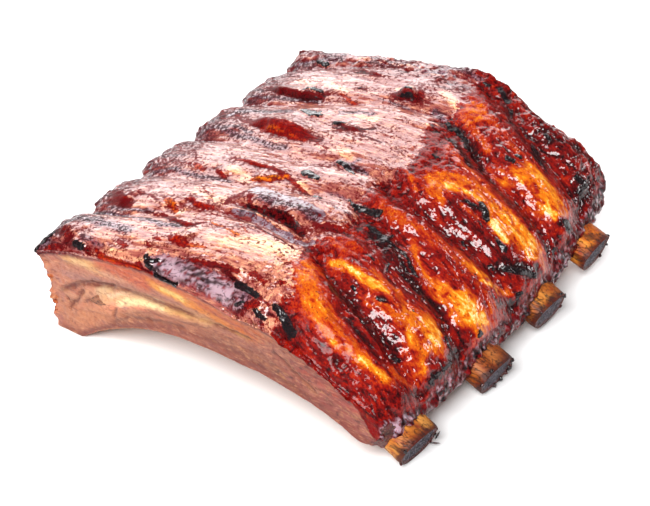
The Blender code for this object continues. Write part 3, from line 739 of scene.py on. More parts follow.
EDGE = [(22.0, -59.7), (23.5, -55.2), (21.9, -49.9), (19.2, -45.6), (17.2, -39.2), (17.0, -30.7), (19.2, -25.0), (17.8, -16.4), (14.5, -6.9), (13.9, 1.8), (16.8, 9.3), (14.7, 19.3), (10.5, 30.0), (10.3, 38.9), (12.1, 47.3), (10.6, 54.3), (8.1, 62.9)]


def flow(x):
    """How the grain wanders across the ribs as it runs from the heel to the belly."""
    return spline(x, [-60, -32, -10, 6, 18, 31, 48, 60], [0, -2, 0.5, 3, 3, 0, -3, -5])


# =========================================================================================
# the slab as two closed, finely divided bodies: the flesh, and the crust that lies over it
# =========================================================================================
CRUST_U, CRUST_V, CRUST_ROWS = 276, 282, 14
FLESH_U, FLESH_V, FLESH_ROWS = 236, 244, 46
UNDER_STEP = 1.35


def rim_of(nu, nv):
    """Places (u, v) round the edge, counter-clockwise from above, and their grid numbers."""
    us, vs = np.linspace(0, 1, nu + 1), np.linspace(0, 1, nv + 1)
    U, V = np.meshgrid(us, vs, indexing="ij")
    idx = np.arange(U.size).reshape(U.shape)
    rim = np.concatenate([idx[:-1, 0], idx[-1, :-1], idx[:0:-1, -1], idx[0, :0:-1]])
    return U, V, idx, rim


def cap(loop_xy, spacing, margin, height_at, seed, inward_up):
    """Points inside a closed outline, and the triangles that join them to it."""
    rng = np.random.default_rng(seed)
    gx, gy = np.meshgrid(np.arange(-58, 60, spacing), np.arange(NEAR_Y, FAR_Y, spacing), indexing="ij")
    gx = gx.ravel() + rng.uniform(-0.15, 0.15, gx.size) * spacing
    gy = gy.ravel() + rng.uniform(-0.15, 0.15, gy.size) * spacing
    nearest = np.full(len(gx), 1e9)
    inside = np.zeros(len(gx), bool)
    a, b = loop_xy, np.roll(loop_xy, -1, axis=0)
    for k in range(len(a)):
        nearest = np.minimum(nearest, np.hypot(gx - a[k, 0], gy - a[k, 1]))
        if a[k, 1] != b[k, 1]:
            crosses = (a[k, 1] > gy) != (b[k, 1] > gy)
            at = a[k, 0] + (gy - a[k, 1]) / (b[k, 1] - a[k, 1]) * (b[k, 0] - a[k, 0])
            inside ^= crosses & (gx < at)
    keep = inside & (nearest > margin)
    gx, gy = gx[keep], gy[keep]
    n = len(loop_xy)
    flat = [Vector((float(p[0]), float(p[1]))) for p in loop_xy] + [
        Vector((float(p), float(q))) for p, q in zip(gx, gy)
    ]
    got = geometry.delaunay_2d_cdt(flat, [(k, (k + 1) % n) for k in range(n)], [list(range(n))], 1, 1e-7)
    assert len(got[0]) == len(flat), (len(got[0]), len(flat), [tuple(v) for v in got[0][len(flat):]])
    tris = np.array([f if inward_up else f[::-1] for f in got[2]])
    return np.stack([gx, gy, height_at(gx, gy)], 1), tris


def build_flesh():
    """The four cut sides and the underside; its top lies hidden under the crust."""
    U, V, idx, rim = rim_of(FLESH_U, FLESH_V)
    ru, rv = U.ravel()[rim], V.ravel()[rim]
    hx, hy, hz = slab_point(ru, rv, np.ones_like(ru))
    lx, ly, lz = slab_point(ru, rv, np.zeros_like(ru))
    # its upper rim stays a little above the lower rim of the crust
    depth, _ = crust_depth(hx, hy, ru, rv)
    least = np.min([np.roll(depth, k) for k in range(-16, 17)], axis=0)
    even = sum(np.roll(least, k) for k in range(-12, 13)) / 25.0
    top_w = 1 - np.clip(even - 0.6, 0.4, 6.0) / (hz - lz)
    pts, uvw, faces = [], [], []
    count, prev = 0, None
    for r in range(FLESH_ROWS + 1):
        w = top_w * (1 - r / FLESH_ROWS)
        x, y, z = slab_point(ru, rv, w)
        pts.append(np.stack([x, y, z], 1))
        uvw.append(np.stack([ru, rv, w], 1))
        cur = np.arange(count, count + len(rim))
        count += len(rim)
        if prev is not None:
            faces.append(np.stack([prev, cur, np.roll(cur, -1), np.roll(prev, -1)], -1))
        prev = cur
    n_side = count
    low_loop = prev
    inner, tris = cap(
        pts[-1][:, :2],
        UNDER_STEP,
        0.75,
        lambda gx, gy: np.where((gx > HEEL_X0) & (gx < HEEL_X1), 0.0, under_z(gx, gy)),
        5,
        False,
    )
    where = np.concatenate([low_loop, np.arange(count, count + len(inner))])
    under = where[tris]
    count += len(inner)
    pts.append(inner)
    uvw.append(np.stack([np.full(len(inner), 0.5), np.full(len(inner), 0.5), np.zeros(len(inner))], 1))
    inner, tris = cap(pts[0][:, :2], 4.0, 2.5, lambda gx, gy: top_z(gx, gy) - 3.4, 6, True)
    where = np.concatenate([np.arange(len(rim)), np.arange(count, count + len(inner))])
    lid = where[tris]
    pts.append(inner)
    uvw.append(np.stack([np.full(len(inner), 0.5), np.full(len(inner), 0.5), np.ones(len(inner))], 1))
    return np.concatenate(pts), faces, under, lid, np.concatenate(uvw), n_side


def crust_depth(x, y, u, v):
    """How far the crust comes down the sides, in millimetres."""
    p = np.stack([x, y, np.zeros_like(x)], 1)
    n = fbm(p / 3.2, 3, 701)
    depth = 2.0 + 0.8 * n + 0.4 * noise3(p / 0.9, 703)
    depth = depth + 1.9 * smooth(36.0, 54.0, x) * np.where(v < 0.5, 1.0, 0.8)
    heel = np.where(u < 1e-9, 1.0, 0.0)
    depth = depth + heel * (1.6 + 2.4 * n)
    belly = smooth(0.0, 1.0, (x - (belly_x(y) - 9.0)) / 9.0)
    return np.clip(depth, 0.45, None), belly


def build_crust():
    U, V, idx, rim = rim_of(CRUST_U, CRUST_V)
    ones = np.ones(U.size)
    x, y, z = slab_point(U.ravel(), V.ravel(), ones)
    pts = [np.stack([x, y, z], 1)]
    uvw = [np.stack([U.ravel(), V.ravel(), ones], 1)]
    faces = [np.stack([idx[:-1, :-1], idx[1:, :-1], idx[1:, 1:], idx[:-1, 1:]], -1).reshape(-1, 4)]
    ru, rv = U.ravel()[rim], V.ravel()[rim]
    hx, hy, hz = x[rim], y[rim], z[rim]
    lx, ly, lz = slab_point(ru, rv, np.zeros_like(ru))
    tall = hz - lz
    depth, belly = crust_depth(hx, hy, ru, rv)
    even = sum(np.roll(depth, k) for k in range(-14, 15)) / 29.0
    corner = np.minimum(np.minimum(ru, 1 - ru) * 116, 99) + np.minimum(np.minimum(rv, 1 - rv) * 125, 99)
    depth = even + (depth - even) * smooth(1.5, 7.0, corner)
    depth = np.minimum(depth + (tall - 1.2 - depth) * belly, tall - 1.2)
    # outward direction of the side, in plan
    nxt, prv = np.roll(np.stack([hx, hy], 1), -1, axis=0), np.roll(np.stack([hx, hy], 1), 1, axis=0)
    t = nxt - prv
    t /= np.linalg.norm(t, axis=1)[:, None]
    out = np.stack([t[:, 1], -t[:, 0]], 1)
    out = sum(np.roll(out, k, axis=0) for k in range(-5, 6))
    out /= np.linalg.norm(out, axis=1)[:, None]
    prev, count = rim, U.size
    for r in range(1, CRUST_ROWS + 1):
        s = r / CRUST_ROWS
        w = 1 - depth * s / tall
        x, y, z = slab_point(ru, rv, w)
        lip = 0.38 * math.sin(math.pi * min(1.0, s * 1.15) ** 0.6)
        tuck = 1 - 0.02 * float(smooth(0.86, 1.0, np.array([s]))[0])
        x, y = (x + out[:, 0] * lip) * tuck, (y + out[:, 1] * lip - 2.0) * tuck + 2.0
        pts.append(np.stack([x, y, z], 1))
        uvw.append(np.stack([ru, rv, w], 1))
        cur = np.arange(count, count + len(rim))
        count += len(rim)
        faces.append(np.stack([prev, cur, np.roll(cur, -1), np.roll(prev, -1)], -1))
        prev = cur
    n_side = count
    inner, tris = cap(pts[-1][:, :2], 5.0, 3.0, lambda gx, gy: top_z(gx, gy) - 4.5, 8, False)
    where = np.concatenate([prev, np.arange(count, count + len(inner))])
    pts.append(inner)
    uvw.append(np.stack([np.full(len(inner), 0.5), np.full(len(inner), 0.5), np.full(len(inner), 0.5)], 1))
    return np.concatenate(pts), faces, where[tris], np.concatenate(uvw), U.size, n_side


def mesh_edges(faces):
    pairs = []
    for f in faces:
        k = f.shape[1]
        for a in range(k):
            pairs.append(np.stack([f[:, a], f[:, (a + 1) % k]], 1))
    e = np.sort(np.concatenate(pairs), axis=1)
    return np.unique(e, axis=0)


def spread(values, edges, n, rounds):
    """Averages a value over neighbouring points, a number of times."""
    deg = np.bincount(edges.ravel(), minlength=n).astype(float)
    out = values.copy()
    for _ in range(rounds):
        s = np.bincount(edges[:, 0], weights=out[edges[:, 1]], minlength=n)
        s += np.bincount(edges[:, 1], weights=out[edges[:, 0]], minlength=n)
        out = 0.35 * out + 0.65 * s / np.maximum(deg, 1)
    return out


def point_normals(points, faces):
    normals = np.zeros_like(points)
    for f in faces:
        if f.shape[1] == 4:
            n = np.cross(points[f[:, 2]] - points[f[:, 0]], points[f[:, 3]] - points[f[:, 1]])
        else:
            n = np.cross(points[f[:, 1]] - points[f[:, 0]], points[f[:, 2]] - points[f[:, 0]])
        for k in range(f.shape[1]):
            np.add.at(normals, f[:, k], n)
    return normals / np.maximum(np.linalg.norm(normals, axis=1), 1e-12)[:, None]


def make_mesh(name, points_mm, faces, layers, smooth_shade=True, grain=None):
    """A mesh in world metres, with its colours stored per point."""
    mesh = bpy.data.meshes.new(name)
    co = (np.asarray(points_mm) + SHIFT) * MM
    sizes = [f.shape[1] for f in faces for _ in range(len(f))]
    loops = np.concatenate([f.ravel() for f in faces])
    mesh.vertices.add(len(co))
    mesh.vertices.foreach_set("co", co.astype(np.float32).ravel())
    mesh.loops.add(len(loops))
    mesh.loops.foreach_set("vertex_index", loops.astype(np.int32))
    mesh.polygons.add(len(sizes))
    starts = np.concatenate([[0], np.cumsum(sizes)[:-1]])
    mesh.polygons.foreach_set("loop_start", starts.astype(np.int32))
    mesh.update(calc_edges=True)
    mesh.validate()
    for label, data in layers.items():
        layer = mesh.color_attributes.new(label, "FLOAT_COLOR", "POINT")
        rgba = np.ones((len(co), 4), np.float32)
        rgba[:, :3] = np.clip(data, 0, 1)
        layer.data.foreach_set("color", rgba.ravel())
    if grain is not None:
        layer = mesh.attributes.new("grain_at", "FLOAT_VECTOR", "POINT")
        layer.data.foreach_set("vector", (grain * MM).astype(np.float32).ravel())
    if smooth_shade:
        mesh.shade_smooth()
    return mesh


def top_relief(x, y, p):
    """Height added over the smooth slab, and the masks of the top."""
    yf = y - flow(x)
    crest = top_z(x, np.zeros_like(x)) * (1 - smooth(8.0, 34.0, x))
    q = np.stack([x, yf, (p[:, 2] - crest) * 0.6], 1)
    warp_a = fbm(p / 4.2, 3, 21)
    warp_b = fbm(p / 4.2, 3, 57)
    fine_a = noise3(p / 1.3, 91)
    fine_b = noise3(p / 1.3, 95)
    xw = x + 1.0 * warp_a + 0.45 * fine_a
    yw = y + 0.7 * warp_b + 0.4 * fine_b
    pw = np.stack([xw, yw, p[:, 2]], 1)
    patchy = fbm(p / np.array([5.0, 2.6, 3.0]), 3, 83)
    right = smooth(-3.2, 3.6, xw + 4.5 * patchy - np.interp(y, [e[1] for e in EDGE], [e[0] for e in EDGE]))
    left = 1 - right
    n1 = fbm(q / np.array([9.0, 1.9, 2.5]), 3, 111)
    n2 = fbm(p / 2.4, 3, 123)
    n4 = noise3(q / np.array([6.0, 0.8, 1.2]), 133)
    base = 0.30 + 0.12 * n1 + 0.10 * n2 + 0.05 * n4
    m = {
        "char": laid(p + 0.5 * (pw - p), CHAR, 0.8),
        "soot": laid(pw, SOOT, 0.9),
        "pale": laid(pw, PALE, 0.9),
        "ash_sheen": laid(pw, ASH_SHEEN, 0.6),
        "window": laid(pw, [(a, b, 1.0) for a, b, _ in WINDOWS], 0.9),
        "grain_at": q,
        "right": right,
    }
    heel_grit = smooth(-36.0, -56.0, x + 3.0 * n2)
    far_grit = smooth(46.0, 60.0, y + 3.0 * n2) * left
    m["soot"] = np.clip(np.maximum(m["soot"], 0.75 * np.maximum(heel_grit, far_grit) * smooth(-0.35, 0.3, n1 + 0.4 * n2)), 0, 1)
    red = painted(pw, base, WINDOWS, 0.5)
    halo = laid(pw, [(a, b * 1.5 + 1.3, 1.0) for a, b, c in BELLY if c >= 0.66], 0.7)
    belly = painted(pw, base + (0.13 + 0.10 * n1) * halo, [(a, b * 1.1, c) for a, b, c in BELLY], 0.5)
    m["level_red"] = np.clip(red * left + belly * right, 0.02, 1)
    amber = smooth(0.45, 0.75, m["level_red"]) * right
    streaks = fbm(q / np.array([7.0, 1.5, 2.2]), 3, 141)
    islands = smooth(0.22, 0.42, fbm(p / np.array([2.6, 1.9, 2.2]), 2, 143))
    m["level_red"] = np.clip(m["level_red"] + amber * (0.18 * streaks - 0.085 - 0.24 * islands), 0.02, 1)
    # the veil is painted pale cream and pink over the glaze to stand for the reflection of the big back light; lighter
    # by the near edge and where PALE lies, darker at the heel and far edge
    veil = 0.62 + 0.14 * n1 + 0.08 * n2 + 0.06 * n4
    veil = veil + 0.08 * smooth(-34.0, -46.0, y) + 0.05 * smooth(-0.1, 0.5, n2)
    veil = veil - 0.12 * heel_grit - 0.06 * smooth(40.0, 52.0, y)
    veil = veil + (1.0 - veil) * m["pale"] * 0.8
    m["level_veil"] = np.clip(veil * (1 - 0.42 * m["soot"]), 0.02, 1)
    # the far edge is lumpy with caked glaze
    far_edge = smooth(50.0, 60.0, y)
    knots = 0.5 - np.abs(fbm(p / np.array([5.0, 5.0, 5.0]), 2, 405))
    # broad swells along the ribs, then grain, then lumps of set glaze
    h = 0.6 * fbm(q / np.array([15.0, 8.0, 9.0]), 2, 3)
    grain = fbm(q / np.array([9.0, 2.3, 3.2]), 2, 31)
    h = h + (0.16 * left + 0.20 * right) * grain
    lumps = fbm(p / np.array([3.6, 2.6, 2.8]), 2, 47)
    h = h + (0.07 * left + 0.36 * right * (1 - 0.8 * amber)) * lumps
    creases = 1 - np.abs(fbm(q / np.array([16.0, 2.6, 3.4]), 2, 53)) * (5.0 * left + 3.0 * right)
    h = h - (0.14 * left + 0.32 * right * (1 - 0.7 * amber)) * np.clip(creases, 0, 1) ** 2
    m["creases"] = np.clip(creases, 0, 1)
    h = h + 0.06 * amber * noise3(q / np.array([6.0, 1.1, 1.6]), 59)
    h = h + far_edge * (0.9 * fbm(p / 5.0, 2, 407) + 0.9 * knots + 0.3 * fbm(p / 1.6, 2, 409))
    rough_edge = 1 - smooth(-58, -48, x)
    h = h + rough_edge * (0.4 * fbm(p / 1.9, 2, 67) + 0.8 * fbm(p / 4.0, 2, 69))
    for pts, half, _ in WINDOWS:
        run = np.abs(np.array(pts[-1]) - np.array(pts[0]))
        if half > 0.6 and run[0] > 1.5 * run[1] and run[0] > 5.0:
            h = h + step(x + 0.6 * warp_a, y + 0.5 * warp_b, pts, half * 1.15, min(1.6, 1.2 * half), 1.5 + 3.0 * half)
    for pts, half, height in FLANKS:
        h = h + step(x + 0.5 * warp_a, y + 0.4 * warp_b, pts, half, height, 3.0)
    # grooves get a crisp crease along their bottoms
    for k, (gx, gy) in enumerate(GROOVES):
        d = np.abs(yw - spline(x, gx, gy))
        h = h - 0.5 * np.exp(-np.square(d / 0.8)) * smooth(-0.1, 0.5, noise3(q / 9.0, 70 + k))
    # domes of the belly end stand up between the valleys
    domes = patch(x, y, [(s[0], s[1] * 1.5) for s in DOMES], 0.9)
    h = h + 1.1 * domes * right
    h = h - 1.0 * patch(x, y, [(s[0], s[1] * 1.3) for s in VALLEYS], 0.9) * right
    # the long smooth lump and the glossy ridge below it, mid top
    lump = patch(x, y, [([(-9, -22), (0, -22.5), (9, -22)], 4.4)], 0.8)
    h = h + 1.3 * lump
    d, _, share = along(x, y, [(-14, -31.6), (-4, -31.0), (6, -31.6), (15, -33.2)])
    ends = smooth(0, 0.15, share) * smooth(0, 0.15, 1 - share)
    h = h + 0.9 * ends * np.exp(-np.square(d / 0.9)) - 0.5 * ends * np.exp(-np.square((d - 2.2) / 0.9))
    # nodules of caked glaze
    caked = smooth(0.2, 0.6, m["soot"] + 0.5 * smooth(0.0, 0.4, fbm(p / 5.0, 2, 401))) * right
    h = h + 0.55 * caked * np.clip(1 - nearest(p, 1.9, 5) / 0.62, 0, 1) ** 0.5
    # burnt crust is raised and wrinkled
    wrinkle = 1 - np.abs(noise3(p / 1.9, 63)) * 2.2
    burnt = smooth(0.3, 0.7, m["char"])
    h = h + burnt * (0.3 + 0.4 * fbm(p / 2.0, 2, 61) + 0.25 * np.clip(wrinkle, 0, 1))
    m["grit"] = np.clip(0.7 * left + right * (1 - 0.6 * amber) - 0.4 * lump + 0.3 * m["soot"], 0.12, 1)
    # where fine dark flecks break up the gloss
    spots = smooth(-0.2, 0.5, fbm(q / np.array([9.0, 4.0, 5.0]), 3, 79))
    fleck = left * (0.37 + 0.45 * spots + 0.5 * heel_grit - 0.10 * smooth(-36.0, -46.0, y))
    around = laid(pw, [(a, b * 2.2 + 0.5, 1.0) for a, b, _ in WINDOWS], 0.9)
    fleck = fleck + left * (0.35 * around + 0.5 * m["soot"] - 0.12 * m["pale"]) + right * (0.2 + 0.35 * m["soot"])
    m["fleck"] = np.clip(fleck, 0.03, 1)
    m["zone"] = np.clip(np.maximum(m["window"], right), 0, 1)
    near_strip = smooth(-44.0, -52.0, y) * right
    m["gloss_in"] = 0.07 * left + right * (0.78 + 0.22 * m["soot"] - 0.55 * near_strip)
    # just past the edge of the veil the bare meat is drier
    past = x - np.interp(y, [e[1] for e in EDGE], [e[0] for e in EDGE])
    m["gloss_in"] = m["gloss_in"] * (1 - right * 0.8 * (1 - smooth(5.0, 15.0, past + 4.0 * patchy)))
    m["lines"] = 0.9 * left + 0.3 * right
    return h, m


# creases of the near cut face, also darkened in colour as painted shade, in millimetres of (x, z): points, half width,
# depth
CREASES = [
    ([(-49.8, 12.7), (-46.6, 15.1), (-42.8, 17.8), (-38.3, 19.7), (-33.2, 21.2), (-28.9, 22.7)], 0.7, 1.0),
    ([(-47.8, 7.4), (-46.1, 9.5), (-44.1, 11.8), (-42.8, 14.0), (-41.4, 16.7)], 0.5, 0.9),
    ([(-41.9, 11.7), (-39.6, 13.4), (-37.7, 14.9), (-35.6, 17.4)], 0.5, 0.5),
    ([(-48.5, 11.6), (-47.8, 10.5), (-47.3, 9.0)], 0.4, 0.6),
    ([(-30.8, 11.7), (-29.9, 13.8), (-29.0, 16.3)], 0.4, 0.8),
    ([(-28.9, 22.4), (-24.0, 23.1), (-18.4, 23.5), (-13.7, 23.6), (-8.2, 24.0), (-1.5, 24.7)], 0.6, 0.5),
    ([(1.8, 24.2), (5.1, 24.6), (9.0, 25.1), (12.9, 25.2), (16.8, 24.7)], 0.3, 0.5),
    ([(-32.8, 9.1), (-24.6, 14.5), (-14.0, 17.8), (-3.8, 19.7)], 0.6, 0.35),
    ([(22.5, 24.3), (27.2, 21.9), (31.9, 19.6), (37.5, 17.0)], 0.4, 0.35),
]
BAND_TOP = ([-35.8, -31.1, -25.7, -20.5, -16.3, -11.9, -6.9, -0.2, 4.8], [19.4, 21.4, 23.1, 24.0, 24.1, 24.0, 24.3, 24.6, 24.8])
BAND_LOW = ([-38.7, -35.6, -31.2, -26.4, -20.9, -15.6, -9.8, -3.7, 1.4, 4.7], [6.9, 10.3, 11.9, 14.7, 17.5, 19.1, 20.0, 21.1, 22.3, 23.2])
# colours laid on it, among them painted highlights on the bone band and painted shade along its creases: points (x, z),
# half width, colour as it is seen in soft light, strength, softness
NEAR_PAINT = [
    ([(-48.9, 20.9), (-38.0, 23.2), (-27.3, 24.4), (-13.5, 25.3), (-0.1, 25.9), (12.9, 25.2), (25.7, 23.8)], 3.2, (206, 140, 116), 0.6, 0.9),
    ([(-45.5, 19.7), (-38.2, 21.1), (-30.3, 22.4), (-20.4, 24.3), (-10.2, 25.5), (1.5, 25.3), (12.9, 24.9)], 1.3, (176, 122, 112), 0.7, 0.8),
    ([(-46.9, 5.3), (-41.3, 7.1), (-35.4, 11.8), (-31.2, 11.6), (-26.5, 12.3)], 3.0, (220, 146, 100), 0.8, 0.8),
    ([(-50.1, 9.5), (-48.3, 6.1), (-46.3, 3.5)], 2.2, (206, 140, 110), 0.6, 0.8),
    ([(-29.6, 30.7), (-26.2, 30.1), (-22.1, 30.2), (-18.0, 29.3)], 1.9, (206, 100, 54), 0.9, 0.8),
    ([(-33.9, 29.2), (-29.7, 29.6)], 1.0, (214, 118, 70), 0.7, 0.8),
    ([(-46.4, 25.0), (-42.7, 25.9), (-38.4, 26.0), (-35.2, 26.0)], 1.7, (244, 190, 124), 0.95, 0.8),
    ([(-44.2, 25.3), (-39.9, 25.7)], 0.8, (252, 214, 150), 0.8, 0.8),
    # painted highlight
    ([(-34.2, 25.4), (-30.0, 25.5), (-25.8, 26.3)], 1.0, (240, 186, 150), 0.8, 0.8),
    ([(-54.4, 24.0), (-49.0, 27.3), (-46.0, 28.1)], 0.8, (206, 84, 50), 0.8, 0.7),
    ([(-17.0, 29.6), (-9.0, 30.0), (1.0, 28.6), (10.0, 27.0), (18.0, 26.0)], 2.0, (214, 96, 44), 0.7, 0.8),
    ([(-17.5, 28.9), (-12.6, 28.6), (-9.2, 28.5), (-6.2, 28.1), (-3.0, 27.8)], 1.3, (255, 176, 62), 1.0, 0.6),
    ([(-13.4, 28.7), (-9.6, 28.6), (-6.4, 28.2)], 0.7, (255, 232, 140), 1.0, 0.6),
    ([(-3.3, 27.8), (-0.0, 27.2), (3.9, 26.6), (7.8, 26.2)], 1.1, (252, 152, 48), 0.95, 0.6),
    ([(8.4, 25.9), (13.0, 25.7), (18.1, 25.0)], 0.9, (240, 132, 46), 0.9, 0.6),
    # painted shade in the long crease
    ([(-49.8, 12.7), (-46.6, 15.1), (-42.8, 17.8), (-38.3, 19.7), (-33.2, 21.2), (-28.9, 22.7)], 0.75, (150, 98, 76), 0.85, 0.9),
    # painted shade in the crease along the top of the bone band
    ([(-28.9, 22.4), (-24.0, 23.1), (-18.4, 23.5), (-13.7, 23.6), (-8.2, 24.0)], 0.5, (164, 110, 88), 0.6, 0.9),
    ([(-47.3, 12.1), (-46.3, 10.8)], 1.4, (222, 160, 122), 0.8, 0.7),
    ([(-41.6, 14.5), (-37.8, 16.8), (-36.5, 15.7)], 1.3, (226, 162, 120), 0.8, 0.7),
    ([(-36.0, 18.0), (-33.3, 19.4), (-30.5, 20.0)], 1.1, (246, 220, 180), 0.95, 0.7),
    ([(-35.0, 16.4), (-29.5, 19.4), (-24.1, 21.8), (-18.8, 22.7), (-13.7, 22.9), (-8.6, 23.2), (-3.6, 23.8), (1.8, 24.5)], 1.7, (222, 172, 126), 0.95, 0.8),
    # painted highlight along the bone band, in two strokes
    ([(-27.8, 18.1), (-24.2, 20.4), (-19.9, 21.9), (-16.5, 22.4), (-12.7, 22.7)], 1.05, (252, 228, 180), 1.0, 0.8),
    ([(-32.0, 18.7), (-27.6, 21.3), (-22.6, 23.1), (-17.7, 23.8), (-13.6, 24.0)], 0.5, (248, 226, 196), 0.7, 0.8),
    ([(-11.7, 22.8), (-8.3, 23.3), (-4.2, 23.8)], 0.55, (246, 206, 140), 0.8, 0.7),
    ([(-17.3, 20.0), (-12.1, 21.0), (-7.0, 21.9), (-1.6, 22.6)], 1.1, (150, 92, 66), 0.75, 0.9),
    ([(-28.8, 14.3), (-23.0, 16.9), (-17.4, 18.3)], 0.9, (178, 116, 84), 0.6, 0.9),
    ([(-32.0, 9.8), (-24.7, 13.8), (-17.5, 16.6), (-8.9, 18.8), (-0.4, 20.2), (7.9, 20.6), (16.0, 20.1), (24.0, 19.1)], 1.6, (184, 116, 88), 0.8, 0.8),
    ([(-44.5, -0.6), (-37.9, 4.5), (-30.3, 9.2), (-21.2, 13.6), (-12.4, 16.5), (-3.8, 18.3), (4.5, 19.1), (12.7, 18.9), (19.8, 17.9), (28.7, 16.4), (38.1, 14.3), (45.9, 12.5)], 0.7, (140, 64, 50), 0.8, 0.9),
    ([(-0.2, 24.3), (3.8, 24.7), (7.7, 25.2), (11.6, 24.9), (15.2, 24.9)], 0.5, (214, 160, 96), 0.9, 0.7),
    ([(26.3, 22.8), (30.0, 20.6), (33.8, 18.5), (36.9, 16.7)], 0.55, (200, 140, 76), 0.7, 0.8),
    ([(24.3, 18.6), (28.7, 16.1), (31.8, 14.3)], 0.5, (190, 126, 80), 0.6, 0.8),
    ([(38.1, 16.0), (44.3, 15.0), (50.5, 13.4), (55.0, 12.4)], 3.0, (160, 88, 84), 0.7, 0.9),
    ([(31.9, 22.2), (39.7, 19.3), (47.4, 17.1), (55.0, 15.9), (60.1, 14.9)], 1.1, (190, 70, 56), 0.6, 0.9),
    ([(17.7, 24.4), (24.1, 23.1), (30.3, 20.5), (38.1, 18.6)], 1.4, (196, 120, 104), 0.6, 0.9),
    ([(18.5, 18.6), (19.8, 17.9)], 0.7, (120, 50, 44), 0.6, 0.9),
    ([(-35.0, 28.2), (-30.0, 28.2), (-25.0, 28.0), (-19.0, 27.9)], 2.0, (218, 96, 44), 0.85, 0.8),
]


def seen(r, g, b):
    """Surface colour for a colour as seen in the studio light."""
    return np.clip((srgb(r, g, b) * np.array([1.0, 0.93, 0.9]) - 0.006) / 1.8, 0.003, 1)


